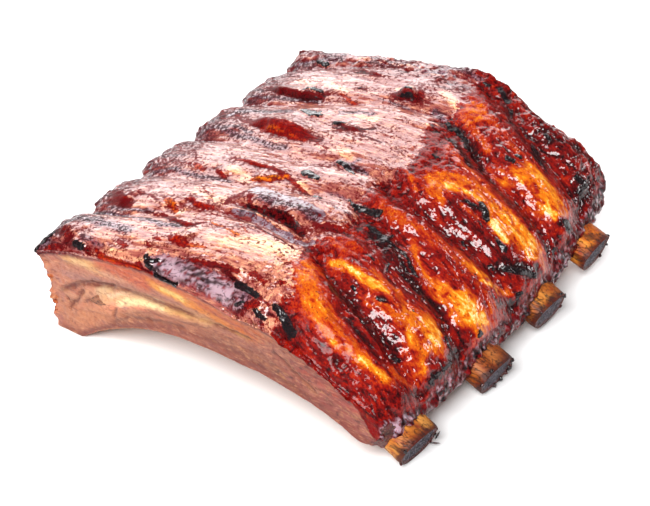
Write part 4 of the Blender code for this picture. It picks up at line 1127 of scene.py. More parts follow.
def side_relief(uvw, p, base_top, base_low):
    """Relief and colour of the four sides."""
    x, y, z = p[:, 0], p[:, 1], p[:, 2]
    v, u = uvw[:, 1], uvw[:, 0]
    down = base_top - z
    near = np.where(v < 1e-9, 1.0, 0.0)
    belly_end = smooth(0.985, 1.0, u)
    heel = 1 - smooth(0.0, 0.015, u)
    n1 = fbm(p / np.array([7.0, 7.0, 1.8]), 3, 221)
    n2 = fbm(p / 2.4, 3, 223)
    n3 = noise3(p / 0.7, 227)
    n4 = fbm(p / np.array([3.0, 3.0, 0.8]), 2, 229)
    chunky = 1 - smooth(-54.0, -42.0, x)
    h = 0.22 * fbm(p / np.array([9.0, 9.0, 3.5]), 3, 201) + 0.08 * fbm(p / 1.6, 2, 211)
    h = h + chunky * (0.8 * fbm(p / 3.2, 2, 213) + 0.35 * fbm(p / 1.4, 2, 214))
    h = h - 0.2 * np.clip(1 - np.abs(fbm(p / np.array([9.0, 9.0, 2.2]), 2, 219)) * 4, 0, 1) ** 2 * (1 - heel)
    xa, za = x + 0.7 * fbm(p / 2.2, 2, 215), z + 0.5 * fbm(p / 2.2, 2, 217)
    # cut faces: peach and tan meat, mauve towards the belly
    belly = smooth(-12.0, 34.0, x + 4 * n2)
    c = mix(np.tile(seen(216, 132, 98), (len(x), 1)), seen(164, 82, 66), belly)
    c = mix(c, seen(234, 172, 128), smooth(0.0, 0.5, n1 + 0.2 * n4) * (1 - 0.8 * belly) * 0.75)
    c = mix(c, seen(178, 98, 76), smooth(0.05, 0.5, n2 - 0.3 * n1) * 0.7)
    c = mix(c, seen(186, 118, 118), smooth(0.1, 0.5, fbm(p / np.array([6.0, 6.0, 2.6]), 2, 277)) * 0.6 * near)
    n6 = fbm(np.stack([(x - 0.5 * z) / 16.0, y / 16.0, (z + 0.36 * np.clip(x, 0, 60)) / 1.0], 1), 3, 251)
    c = mix(c, seen(206, 130, 104), smooth(0.1, 0.55, n6) * (0.25 + 0.4 * belly))
    c = mix(c, seen(128, 58, 56), smooth(0.1, 0.5, -n6) * (0.2 + 0.45 * belly))
    fat = (1 - smooth(3.0, 6.0, down + 1.2 * n2)) * (1 - smooth(14.0, 34.0, x)) * smooth(-50, -34, x) * (1 - near)
    c = mix(c, seen(226, 132, 62), fat * 0.9)
    for pts, half, tone, strength, soft in NEAR_PAINT:
        tone = (tone[0], tone[1] * 0.97, tone[2] * 0.92)
        d, _, share = along(xa, za, pts)
        on = near * strength * (1 - smooth(half * (1 - soft), half * (1 + soft), d))
        c = mix(c, seen(*tone), on)
    c = mix(c, seen(118, 58, 48), smooth(0.2, 0.5, n4 + 0.3 * n3) * (0.3 + 0.4 * belly))
    c = mix(c, seen(120, 40, 34), smooth(0.45, 0.6, noise3(p / np.array([2.2, 2.2, 1.2]), 241)) * (0.25 + 0.4 * belly))
    c = c * (1 - 0.2 * smooth(-8.0, 6.0, x) * (1 - smooth(24.0, 40.0, x)) * near)[:, None]
    line = np.exp(-np.square((down - 4.4 + 0.9 * n2) / 1.1)) * smooth(-24.0, -14.0, x) * (1 - smooth(18.0, 30.0, x)) * near
    c = mix(c, seen(226, 118, 46), 0.7 * line)
    thread = np.abs(fbm(np.stack([x / 14.0, y / 14.0, (z + 0.36 * np.clip(x, 0, 60)) / 1.6], 1), 2, 271))
    c = mix(c, seen(206, 146, 98), smooth(0.07, 0.0, thread) * (0.2 + 0.5 * belly) * near)
    blotch = smooth(0.3, 0.5, fbm(p / np.array([3.2, 3.2, 1.6]), 2, 273)) * smooth(10.0, 34.0, x) * near
    c = mix(c, seen(140, 26, 36), 0.6 * blotch)
    specks = smooth(0.42, 0.58, noise3(p / np.array([1.7, 1.7, 1.2]), 263)) * smooth(6.0, 30.0, x) * near
    c = mix(c, seen(84, 14, 20), 0.85 * specks)
    rim = 1 - smooth(2.2, 3.6, down + 0.8 * n2 + 0.4 * n3)
    c = mix(c, seen(128, 18, 30), rim * 0.95)
    low = 1 - smooth(0.5, 3.4, z - base_low + 0.8 * n2)
    c = mix(c, seen(136, 58, 44), low * 0.6)
    # belly end: rough purple grey skirt
    skirt = mix(np.tile(srgb(84, 22, 28), (len(x), 1)), srgb(30, 5, 9), smooth(-0.3, 0.3, n2 + 0.3 * n3))
    c = mix(c, skirt, belly_end)
    h = h + belly_end * (0.5 * fbm(p / 2.0, 3, 233))
    # heel end: browned lumps, blackened on top
    brown = mix(np.tile(srgb(176, 104, 72), (len(x), 1)), srgb(112, 48, 34), smooth(-0.1, 0.6, n2 + 0.5 * n1))
    brown = mix(brown, srgb(196, 136, 98), 0.7 * smooth(0.1, 0.5, n4 - 0.4 * n2))
    brown = mix(brown, srgb(198, 104, 48), 0.6 * smooth(0.42, 0.62, noise3(p / 1.6, 239)))
    brown = mix(brown, srgb(60, 14, 14), 0.9 * (1 - smooth(1.0, 8.0, down + 3.5 * n2 + 2.0 * n1)))
    c = mix(c, brown, heel)
    h = h + heel * 0.9 * fbm(p / 3.0, 3, 237)
    for pts, half, depth in CREASES:
        d, _, share = along(xa, za, pts)
        ends = smooth(0, 0.12, share) * smooth(0, 0.12, 1 - share)
        cut = np.exp(-np.square(d / half)) * near * ends
        h = h - depth * cut
        # the crease is darkened too: painted shade
        c = mix(c, seen(112, 58, 44), 0.7 * cut)
    # the side of the first bone stands out as a smooth pale band, lightened most along its rounded middle: pale bone,
    # and painted highlight
    up = spline(x, *BAND_TOP)
    lo = spline(x, *BAND_LOW)
    t = (z - lo) / np.maximum(up - lo, 0.3)
    ends = smooth(-40, -31, x) * (1 - smooth(-6, 6, x)) * near
    round_ = np.clip(1 - np.square(2 * t - 1), 0, 1)
    h = h * (1 - 0.5 * ends * round_) + 1.0 * round_ * ends
    c = np.clip(c * (1 + 0.5 * round_ * ends)[:, None], 0, 0.92)
    # the far face shows the last rib less clearly, and seams between the muscles
    far = np.where(v > 1 - 1e-9, 1.0, 0.0)
    xf = x + 2.0 * fbm(p / 9.0, 2, 289)
    lo = spline(xf, *BAND_LOW) - 2.5
    t = (z + 0.8 * n2 - lo) / 5.5
    round_ = np.sqrt(np.clip(1 - np.square(2 * t - 1), 0, 1)) * smooth(-38, -26, x) * (1 - smooth(8, 30, x)) * far
    c = mix(c, seen(236, 186, 138), 0.8 * round_)
    h = h + 0.6 * round_
    seam = np.abs(fbm(np.stack([xf / 22.0, y / 22.0, (z + 0.25 * np.abs(x)) / 6.5], 1), 2, 291))
    seam = smooth(0.05, 0.0, seam) * far * (1 - round_)
    c = mix(c, seen(120, 58, 46), 0.75 * seam)
    h = h - 0.5 * seam
    return h, c


def under_look(p):
    """Relief and colour of the underside: a thin skin over the ribs."""
    x, y = p[:, 0], p[:, 1]
    rib = np.zeros(len(p))
    for i in range(4):
        half = BONE_HALF_WIDTH[i] * swell(x)
        rib = np.maximum(rib, 1 - smooth(half * 0.55, half * 1.15, np.abs(y - bone_y(i, x))))
    rib = rib * smooth(-42, -34, x)
    n1 = fbm(p / np.array([9.0, 3.0, 6.0]), 3, 301)
    n2 = fbm(p / 2.5, 3, 305)
    c = np.tile(srgb(168, 92, 66), (len(p), 1))
    c = mix(c, srgb(122, 52, 36), smooth(0.0, 0.6, n1))
    c = mix(c, srgb(216, 164, 116), rib * (0.75 + 0.4 * n2))
    c = mix(c, srgb(96, 34, 24), smooth(0.25, 0.6, n2) * 0.6)
    c = mix(c, srgb(196, 132, 96), (1 - smooth(-46, -38, x)) * 0.8)
    h = 0.3 * n1 + 0.12 * fbm(p / 1.8, 2, 311) + 0.35 * rib * 0.0
    h = h * smooth(-43, -38, x)
    return h, c


def build_meat():
    # flesh
    points, faces, under, lid, uvw, n_side = build_flesh()
    allf = faces + [under, lid]
    normals = point_normals(points, allf)
    n = len(points)
    relief, colour, mask = np.zeros(n), np.zeros((n, 3)), np.zeros((n, 3))
    ps = points[:n_side]
    rim_top = top_z(ps[:, 0], np.clip(ps[:, 1], NEAR_Y, FAR_Y))
    rim_low = under_z(ps[:, 0], ps[:, 1])
    relief[:n_side], colour[:n_side] = side_relief(uvw[:n_side], ps, rim_top, rim_low)
    around = n_side // (FLESH_ROWS + 1)
    for row, drop in ((0, 0.7), (1, 0.35), (2, 0.1)):
        relief[row * around:(row + 1) * around] -= drop
    mask[:n_side, 1] = 0.5
    low = np.unique(under)
    hl, cl = under_look(points[low])
    keep = low >= n_side
    relief[low] = np.where(keep, hl, 0.5 * (relief[low] + hl))
    colour[low] = np.where(keep[:, None], cl, 0.5 * (colour[low] + cl))
    mask[low, 1] = 0.4
    edges = mesh_edges(allf)
    # hollows of the relief are darkened: painted shade
    hollow = relief - spread(relief, edges, n, 7)
    colour = mix(colour, srgb(90, 30, 24), 0.6 * smooth(0.02, 0.3, -hollow))
    moved = points + normals * relief[:, None]
    moved[:, 2] = np.maximum(moved[:, 2], 0.0)
    flesh = make_mesh("flesh_surface", moved, allf, {"tint": colour, "mask": mask})

    # crust
    points, faces, bottom, uvw, n_top, n_side = build_crust()
    allf = faces + [bottom]
    normals = point_normals(points, allf)
    n = len(points)
    relief, colour, mask = np.zeros(n), np.zeros((n, 3)), np.zeros((n, 3))
    p = points[:n_side]
    h, m = top_relief(p[:, 0], p[:, 1], p)
    down = np.zeros(n_side)
    down[n_top:] = top_z(p[n_top:, 0], np.clip(p[n_top:, 1], NEAR_Y, FAR_Y)) - p[n_top:, 2]
    rim_top = top_z(p[:, 0], np.clip(p[:, 1], NEAR_Y, FAR_Y))
    rim_low = under_z(p[:, 0], p[:, 1])
    hs, _ = side_relief(uvw[:n_side], p, rim_top, rim_low)
    over = 1 - smooth(0.3, 2.2, down)
    skirt = smooth(0.45, 0.75, normals[:n_side, 0]) * smooth(0.4, 2.6, down + 0.8 * fbm(p / 3.0, 2, 247))
    knobs = np.abs(fbm(p / np.array([3.0, 3.0, 3.6]), 2, 233))
    lumps = 0.9 * fbm(p / 4.2, 2, 231) + 1.5 * knobs - 0.45 + 0.5 * np.clip(1 - nearest(p, 2.2, 9) / 0.6, 0, 1) ** 0.5
    relief[:n_side] = h * over + hs * (1 - over) + skirt * 1.15 * lumps
    burnt_edge = smooth(-26.0, -18.0, p[:, 0]) * (1 - smooth(26.0, 34.0, p[:, 0])) * smooth(-50.0, -58.0, p[:, 1])
    lower = smooth(0.6 - 0.7 * burnt_edge, 1.7 - 1.1 * burnt_edge, down) * (1 - skirt)
    n2 = fbm(p / 2.4, 3, 223)
    n3 = noise3(p / 0.9, 227)
    # belly skirt and lower edge have a colour of their own; on the skirt, pale lavender specks are painted glints of
    # light
    own = np.tile(srgb(112, 8, 8), (n_side, 1))
    own = mix(own, srgb(40, 3, 7), 0.85 * smooth(-0.05, 0.35, n2))
    own = mix(own, srgb(150, 44, 16), 0.6 * smooth(0.3, 0.55, n3))
    n5 = noise3(p / 1.3, 231)
    s = mix(np.tile(srgb(84, 3, 10), (n_side, 1)), srgb(9, 2, 5), smooth(-0.35, 0.05, n2 + 0.4 * n3))
    # pale lavender specks: painted glints
    s = mix(s, srgb(186, 140, 152), 0.75 * smooth(0.18, 0.42, n5 + 0.4 * n3) * smooth(-0.45, 0.15, n2))
    s = mix(s, srgb(140, 8, 14), 0.7 * smooth(0.25, 0.5, noise3(p / 1.9, 243)))
    # more pale lavender near the front corner: painted glints
    near_corner_glints = smooth(-46.0, -52.0, p[:, 1]) * smooth(-0.15, 0.3, n5 + 0.5 * n3)
    s = mix(s, srgb(172, 138, 152), 0.8 * near_corner_glints)
    own = mix(own, s, skirt)
    colour[:n_side] = own
    colour[n_side:] = srgb(120, 40, 30)
    # burnt patch by the near edge: black, cracked, with red between, under a grey-lavender that is painted sheen
    n2 = fbm(p / 2.4, 3, 223)
    near_patch = m["soot"] * smooth(-53.0, -55.5, p[:, 1]) * smooth(-24.0, -18.0, p[:, 0]) * (1 - smooth(8.0, 15.0, p[:, 0] + 5.0 * n2))
    crack = smooth(0.16, 0.03, np.abs(fbm(m["grain_at"] / np.array([7.0, 1.5, 2.0]), 2, 281)))
    spot = smooth(0.12, 0.42, fbm(p / 1.5, 2, 283))
    burnt_sheen = mix(np.tile(srgb(172, 144, 154), (n_side, 1)), srgb(122, 86, 98), smooth(0.0, 0.5, n2))
    burnt_sheen = mix(burnt_sheen, srgb(112, 8, 16), 0.9 * smooth(0.1, 0.4, spot))
    burnt_sheen = mix(burnt_sheen, srgb(18, 9, 14), 0.92 * crack)
    own = mix(own, burnt_sheen, near_patch * (1 - lower))
    # grey-lavender along the glossy ridge: painted reflection, broken by dark specks and cracks
    ridge_sheen = mix(np.tile(srgb(140, 120, 130), (n_side, 1)), srgb(98, 70, 84), smooth(0.0, 0.5, n2))
    ridge_sheen = mix(ridge_sheen, srgb(70, 10, 18), 0.9 * smooth(0.2, 0.4, spot) * smooth(-0.2, 0.2, n3))
    ridge_sheen = mix(ridge_sheen, srgb(24, 12, 18), 0.8 * crack * smooth(-0.2, 0.3, n2))
    own = mix(own, ridge_sheen, m["ash_sheen"])
    colour[:n_side] = own
    aside = np.ones(n)
    aside[:n_side] = np.clip(np.maximum(np.maximum(skirt, lower), np.maximum(near_patch, m["ash_sheen"])), 0, 1)
    mask[:n_side, 0] = m["char"] * (1 - 0.6 * skirt)
    mask[:n_side, 1] = m["grit"] * (1 - skirt) + skirt
    mask[:n_side, 2] = m["fleck"] * (1 - skirt) * (1 - 0.75 * near_patch) + 0.55 * skirt
    gloss = np.zeros((n, 3))
    wet = 0.04 + 0.96 * smooth(-0.05, 0.25, n5 + 0.35 * n3)
    gloss[:n_side, 0] = 1.0 + skirt * (wet - 1.0)
    gloss[:n_side, 1] = (m["gloss_in"] + skirt * (wet - m["gloss_in"])) * (1 - 0.75 * lower * smooth(30.0, 44.0, p[:, 0]))
    gloss[:n_side, 2] = m["soot"]
    levels = np.full((n, 3), 0.3)
    levels[:n_side, 0] = m["level_veil"]
    levels[:n_side, 1] = m["level_red"]
    levels[:n_side, 2] = m["zone"]
    extra = np.zeros((n, 3))
    extra[:n_side, 0] = m["lines"] * (1 - skirt)
    extra[:n_side, 2] = m["right"]
    grain = np.zeros((n, 3))
    grain[:n_side] = m["grain_at"]
    edges = mesh_edges(allf)
    # hollows of the relief make the veil and the red darker as painted shade, rises make them lighter as painted light
    hollow = relief - spread(relief, edges, n, 9)
    dip_shade = smooth(0.01, 0.16, -hollow)
    rise_light = smooth(0.03, 0.2, hollow)
    levels[:, 0] = np.clip(levels[:, 0] - 0.25 * dip_shade + 0.10 * rise_light, 0, 1)
    levels[:, 1] = np.clip(levels[:, 1] - 0.16 * dip_shade + 0.05 * rise_light, 0, 1)
    extra[:, 1] = aside
    moved = points + normals * relief[:, None]
    moved[:, 2] = np.maximum(moved[:, 2], 0.3)
    layers = {"tint": colour, "levels": levels, "mask": mask, "gloss": gloss, "extra": extra}
    crust = make_mesh("crust_surface", moved, allf, layers, grain=grain)
    return flesh, crust, moved[:n_side], normals[:n_side], m, down


# =========================================================================================
# bones
# =========================================================================================
BONE_AROUND = 56
BONE_TOAST = [(0.88, 0.78, 0.7), (0.56, 0.36, 0.32), (0.84, 0.66, 0.5), (1.05, 0.76, 0.42)]


def build_bone(i):
    end = BONE_END_X[i]
    t = np.linspace(0, 1, 90)
    xs = -45.0 + (end + 45.0) * (1 - (1 - t) ** 1.7)
    centre = np.stack([xs, bone_y(i, xs), bone_z(i, xs)], 1)
    tangent = np.gradient(centre, axis=0)
    tangent /= np.linalg.norm(tangent, axis=1)[:, None]
    up = np.array([0, 0, 1.0]) - tangent * tangent[:, 2:3]
    up /= np.linalg.norm(up, axis=1)[:, None]
    across = np.cross(up, tangent)
    a = np.linspace(0, 2 * np.pi, BONE_AROUND, endpoint=False)
    points, info = [], []
    for k in range(len(xs)):
        s = swell(xs[k]) * (1 - 0.24 * (1 - smooth(40.0, 49.0, xs[k])))
        squash = 1.0
        if k < 6:
            squash = math.sqrt(max(0.04, 1 - ((6 - k) / 6.2) ** 2))
        ca, sa = np.cos(a), np.sin(a)
        ring = (
            centre[k]
            + across[k] * (BONE_HALF_WIDTH[i] * s * squash * np.sign(ca) * np.abs(ca) ** 0.9)[:, None]
            + up[k] * (BONE_HALF_THICK[i] * s * squash * np.sign(sa) * np.abs(sa) ** 0.9)[:, None]
        )
        if k == len(xs) - 1:
            last_off = ring - centre[k]
            ring = ring - tangent[k] * (SAW_SETBACK * last_off[:, 2])[:, None]
        points.append(ring)
        info.append(np.stack([np.full(len(a), xs[k]), a, np.ones(len(a))], 1))
    points = np.concatenate(points)
    info = np.concatenate(info)
    faces = []
    idx = np.arange(len(points)).reshape(len(xs), BONE_AROUND)
    nxt = np.roll(idx, -1, axis=1)
    faces.append(np.stack([idx[:-1], nxt[:-1], nxt[1:], idx[1:]], -1).reshape(-1, 4)[:, ::-1])
    # surface relief of the shaft: long shallow ridges, a crumbly lip at the saw cut
    n_shaft = len(points)
    nrm = points - np.repeat(centre, BONE_AROUND, axis=0)
    nrm /= np.linalg.norm(nrm, axis=1)[:, None]
    d_end = end - info[:, 0]
    rel = 0.16 * fbm(points / np.array([9.0, 1.5, 1.5]), 3, 500 + i) + 0.08 * noise3(points / 0.8, 510 + i)
    rel = rel - 0.35 * np.exp(-d_end / 0.5) * (0.5 + 0.5 * noise3(points / 1.1, 520 + i))
    rel[idx[0]] = 0.0
    points = points + nrm * rel[:, None]
    # sawn face: rings going in, a hard rim round a spongy middle
    shares = [0.93, 0.86, 0.78, 0.69, 0.6, 0.5, 0.4, 0.3, 0.2, 0.1]
    outer = points[idx[-1]]
    middle = outer.mean(0)
    face_n = tangent[-1] + SAW_SETBACK * np.array([0, 0, 1.0])
    face_n /= np.linalg.norm(face_n)
    prev = idx[-1]
    count = len(points)
    extra, extra_info = [], []
    for s in shares:
        ring = middle + (outer - middle) * s
        pit = 0.35 * fbm(ring / 0.9, 2, 530 + i) - 0.15 - 0.25 * smooth(0.95, 0.7, np.full(len(a), s))
        pit = pit + 0.2 * noise3(ring / 0.45, 540 + i)
        ring = ring + face_n * pit[:, None]
        cur = np.arange(count, count + BONE_AROUND)
        count += BONE_AROUND
        faces.append(np.stack([prev, np.roll(prev, -1), np.roll(cur, -1), cur], -1)[:, ::-1])
        extra.append(ring)
        extra_info.append(np.stack([np.full(len(a), end), a, np.full(len(a), -s)], 1))
        prev = cur
    extra.append((middle - face_n * 0.3)[None])
    extra_info.append(np.array([[end, 0, 0]]))
    tip = np.full(BONE_AROUND, count)
    count += 1
    tris = [np.stack([prev, np.roll(prev, -1), tip], -1)[:, ::-1]]
    extra.append(centre[0][None] - tangent[0] * 0.3)
    extra_info.append(np.array([[-45.0, 0, 1]]))
    root = np.full(BONE_AROUND, count)
    tris.append(np.stack([np.roll(idx[0], -1), idx[0], root], -1)[:, ::-1])
    points = np.concatenate([points] + extra)
    info = np.concatenate([info] + extra_info)
    # colours
    x = info[:, 0]
    n1 = fbm(points / np.array([7.0, 1.2, 1.2]), 3, 550 + i)
    n2 = fbm(points / 1.6, 3, 560 + i)
    n3 = noise3(points / 0.6, 570 + i)
    a_round = np.stack([x / 9.0, 6.0 * np.cos(info[:, 1]), 6.0 * np.sin(info[:, 1])], 1)
    n4 = noise3(a_round * np.array([1.0, 0.45, 0.45]), 580 + i)
    n5 = noise3(a_round * np.array([2.0, 1.2, 1.2]), 590 + i)
    c = np.tile(srgb(188, 112, 34), (len(points), 1))
    c = mix(c, srgb(232, 168, 82), smooth(0.0, 0.5, n4 + 0.3 * n1) * 0.9)
    c = mix(c, srgb(130, 30, 8), smooth(0.08, 0.5, n2 - 0.3 * n4) * 0.85)
    c = mix(c, srgb(50, 12, 5), smooth(0.25, 0.4, n5) * 0.8)
    inner = 1 - smooth(20.0, 44.0, x)
    c = mix(c, srgb(226, 190, 140), inner * 0.9)
    base_x = BONE_END_X[i] - 14.0
    drip = 1 - smooth(2.0, 7.5, x - (end - 8.0) + 3.0 * n2 + 2.0 * n5 + 3.5)
    c = mix(c, srgb(112, 18, 8), 0.8 * drip)
    stain = np.exp(-np.clip(end - x - 0.6 + 1.6 * n2, 0, None) / 1.1)
    c = mix(c, srgb(66, 12, 8), np.clip(stain * 1.3, 0, 0.95))
    c = c * (1 - (1 - inner)[:, None] * (1 - np.array(BONE_TOAST[i])))
    cap = info[:, 2] <= 0
    marrow = mix(np.tile(srgb(58, 54, 68), (len(points), 1)), srgb(22, 16, 22), smooth(-0.25, 0.3, n2 + 0.4 * n3))
    marrow = mix(marrow, srgb(116, 112, 128), smooth(0.2, 0.6, n3))
    marrow = mix(marrow, srgb(64, 40, 54), smooth(0.0, 0.5, n1 + n3 * 0.5))
    edge = smooth(-0.74, -0.9, info[:, 2] + 0.06 * n2)
    marrow = mix(marrow, srgb(96, 40, 24), edge * 0.85)
    c = np.where(cap[:, None], marrow, c)
    masks = np.stack([cap.astype(float), np.full(len(points), 0.6), np.zeros(len(points))], 1)
    return make_mesh(f"bone_surface_{i + 1}", points, faces + tris, {"tint": c, "mask": masks})


# =========================================================================================
# crumbs that cling to the sawn ends and to the heel
# =========================================================================================
def lump(centre, radii, turn, seed):
    bm = bmesh.new()
    bmesh.ops.create_icosphere(bm, subdivisions=3, radius=1.0)
    ball = np.array([v.co[:] for v in bm.verts])
    tris = np.array([[v.index for v in f.verts] for f in bm.faces])
    bm.free()
    ball = ball * (1 + 0.45 * fbm(ball * 1.1 + seed * 3.7, 2, 600))[:, None] * np.array(radii)
    ca, sa, cb, sb = math.cos(turn[0]), math.sin(turn[0]), math.cos(turn[1]), math.sin(turn[1])
    spin = np.array([[ca, -sa, 0], [sa, ca, 0], [0, 0, 1]]) @ np.array([[cb, 0, sb], [0, 1, 0], [-sb, 0, cb]])
    return ball @ spin.T + np.asarray(centre), tris


def build_crumbs(name, lumps, tones, gloss):
    points, faces, colour, count = [], [], [], 0
    for k, (centre, radii, turn) in enumerate(lumps):
        ball, tris = lump(centre, radii, turn, k)
        points.append(ball)
        faces.append(tris + count)
        count += len(ball)
        share = smooth(-0.3, 0.4, fbm(ball / 0.8, 2, 610 + k))
        colour.append(mix(np.tile(srgb(*tones[k % 2]), (len(ball), 1)), srgb(*tones[2]), share))
    points = np.concatenate(points)
    points[:, 2] = np.maximum(points[:, 2], 0.0)
    n = len(points)
    rows = lambda *v: np.tile(np.array(v, float), (n, 1))
    layers = {
        "tint": np.concatenate(colour),
        "levels": rows(0.3, 0.3, 1.0),
        "mask": rows(0.0, 0.7, 0.1),
        "gloss": rows(gloss, gloss, 0.0),
        "extra": rows(0.0, 1.0, 1.0),
    }
    return make_mesh(name, points, faces, layers, grain=points)


def end_rim(i, angle, out=0.0):
    """A place on the rim of the sawn end of bone i; 0 is away from the near face, 90 degrees is up."""
    end = BONE_END_X[i]
    xs = np.array([end - 0.5, end])
    line = np.stack([xs, bone_y(i, xs), bone_z(i, xs)], 1)
    tangent = (line[1] - line[0]) / np.linalg.norm(line[1] - line[0])
    up = np.array([0, 0, 1.0]) - tangent * tangent[2]
    up /= np.linalg.norm(up)
    across = np.cross(up, tangent)
    ca, sa = math.cos(math.radians(angle)), math.sin(math.radians(angle))
    s = float(swell(np.array([end]))[0])
    off = across * BONE_HALF_WIDTH[i] * s * math.copysign(abs(ca) ** 0.9, ca)
    off = off + up * BONE_HALF_THICK[i] * s * math.copysign(abs(sa) ** 0.9, sa)
    return line[1] + off * 0.97 - tangent * (SAW_SETBACK * off[2] - out)


def burnt_lumps():
    rng = np.random.default_rng(21)
    out = []
    for i, angles in enumerate([(-12, -38, 150, 205), (8, -6, -20, -34, -58, -84, 120, 170), (14, -30, 60, 140), (-10, -52, 35, 165)]):
        for angle in angles:
            size = rng.uniform(0.45, 0.8) * (1.25 if i == 1 else 0.85)
            radii = size * rng.uniform(0.7, 1.2, 3)
            out.append((end_rim(i, angle + rng.uniform(-4, 4), -0.15), radii, rng.uniform(0, 3, 2)))
    # splinters on the first bone
    out.append((end_rim(0, -4, 0.1) + np.array([0.2, 0.3, -0.9]), (0.26, 0.22, 1.5), (0.4, 0.35)))
    out.append((end_rim(0, -40, 0.1) + np.array([0.9, 0.5, 0.1]), (1.4, 0.22, 0.22), (0.6, 0.1)))
    return out


def heel_lumps():
    rng = np.random.default_rng(22)
    out = []
    corner = [(0.13, 0.6), (0.19, 0.75), (0.29, 1.15), (0.36, 1.5), (0.43, 1.2), (0.55, 0.7), (0.62, 1.15), (0.74, 1.1)]
    for k in range(64):
        if k < len(corner):
            v, (w, size) = 0.0, corner[k]
        else:
            v, w, size = rng.uniform(0.0, 1.0), rng.uniform(0.04, 0.82), rng.uniform(0.6, 1.3)
        x, y, z = slab_point(np.array([0.0]), np.array([v]), np.array([w]))
        at = np.array([x[0] + 0.4, y[0] + (0.6 if k < len(corner) else 0.0), z[0]])
        out.append((at, size * rng.uniform(0.7, 1.25, 3), rng.uniform(0, 3, 2)))
    return out


# =========================================================================================
# materials
# =========================================================================================
def new_material(name):
    m = bpy.data.materials.new(name)
    m.use_nodes = True
    tree = m.node_tree
    shader = tree.nodes["Principled BSDF"]
    return m, tree, shader


def node(tree, kind, **values):
    n = tree.nodes.new(kind)
    for k, v in values.items():
        setattr(n, k, v)
    return n


def noise_node(tree, scale, detail, rough, vector):
    n = node(tree, "ShaderNodeTexNoise")
    n.inputs["Scale"].default_value = scale
    n.inputs["Detail"].default_value = detail
    n.inputs["Roughness"].default_value = rough
    tree.links.new(vector, n.inputs["Vector"])
    return n.outputs["Fac"]


def ramp(tree, value, a, b):
    n = node(tree, "ShaderNodeMapRange", interpolation_type="SMOOTHSTEP")
    n.inputs["From Min"].default_value = a
    n.inputs["From Max"].default_value = b
    tree.links.new(value, n.inputs["Value"])
    return n.outputs["Result"]


def math_node(tree, op, a, b=None):
    n = node(tree, "ShaderNodeMath", operation=op)
    for k, v in enumerate((a, b)):
        if v is None:
            continue
        if isinstance(v, (int, float)):
            n.inputs[k].default_value = v
        else:
            tree.links.new(v, n.inputs[k])
    return n.outputs[0]


def mix_colour(tree, a, b, fac, blend="MIX"):
    n = node(tree, "ShaderNodeMix", data_type="RGBA", blend_type=blend)
    for key, v in (("A", a), ("B", b)):
        socket = [s for s in n.inputs if s.name == key and s.type == "RGBA"][0]
        if isinstance(v, (tuple, list, np.ndarray)):
            socket.default_value = (*v[:3], 1.0)
        else:
            tree.links.new(v, socket)
    f = [s for s in n.inputs if s.name == "Factor" and s.type == "VALUE"][0]
    if isinstance(fac, (int, float)):
        f.default_value = fac
    else:
        tree.links.new(fac, f)
    return [s for s in n.outputs if s.type == "RGBA"][0]


# browning from burnt to pale, for bare meat and for meat under the veil of glaze, whose pale end is painted reflection
# the palest stops of this browning also serve as painted highlights on the dome tops
RED_SCALE = [
    (0.0, srgb(22, 1, 3)),
    (0.12, srgb(54, 1, 3)),
    (0.25, srgb(98, 3, 3)),
    (0.38, srgb(136, 14, 4)),
    (0.5, srgb(162, 42, 5)),
    (0.62, srgb(180, 76, 9)),
    (0.74, srgb(204, 100, 10)),
    (0.84, srgb(220, 134, 22)),
    (0.93, srgb(230, 172, 74)),
    (1.0, srgb(240, 208, 140)),
]
# colour of the glaze under the veil; its pale upper end stands for a painted reflection of the light
VEIL_SHEEN_SCALE = [
    (0.0, srgb(30, 6, 10)),
    (0.2, srgb(84, 14, 18)),
    (0.4, srgb(122, 42, 42)),
    (0.6, srgb(152, 80, 70)),
    (0.8, srgb(208, 138, 108)),
    (1.0, srgb(252, 208, 152)),
]


def scale_of_colour(tree, value, stops):
    n = node(tree, "ShaderNodeValToRGB")
    n.color_ramp.interpolation = "LINEAR"
    e = n.color_ramp.elements
    while len(e) < len(stops):
        e.new(0.5)
    for k, (at, c) in enumerate(stops):
        e[k].position = at
    for k, (at, c) in enumerate(stops):
        e[k].color = (*[float(v) for v in c], 1.0)
    tree.links.new(value, n.inputs["Fac"])
    return n.outputs["Color"]


def attribute(tree, name):
    n = node(tree, "ShaderNodeAttribute", attribute_name=name)
    sep = node(tree, "ShaderNodeSeparateColor")
    tree.links.new(n.outputs["Color"], sep.inputs[0])
    return n.outputs["Color"], sep.outputs[0], sep.outputs[1], sep.outputs[2]


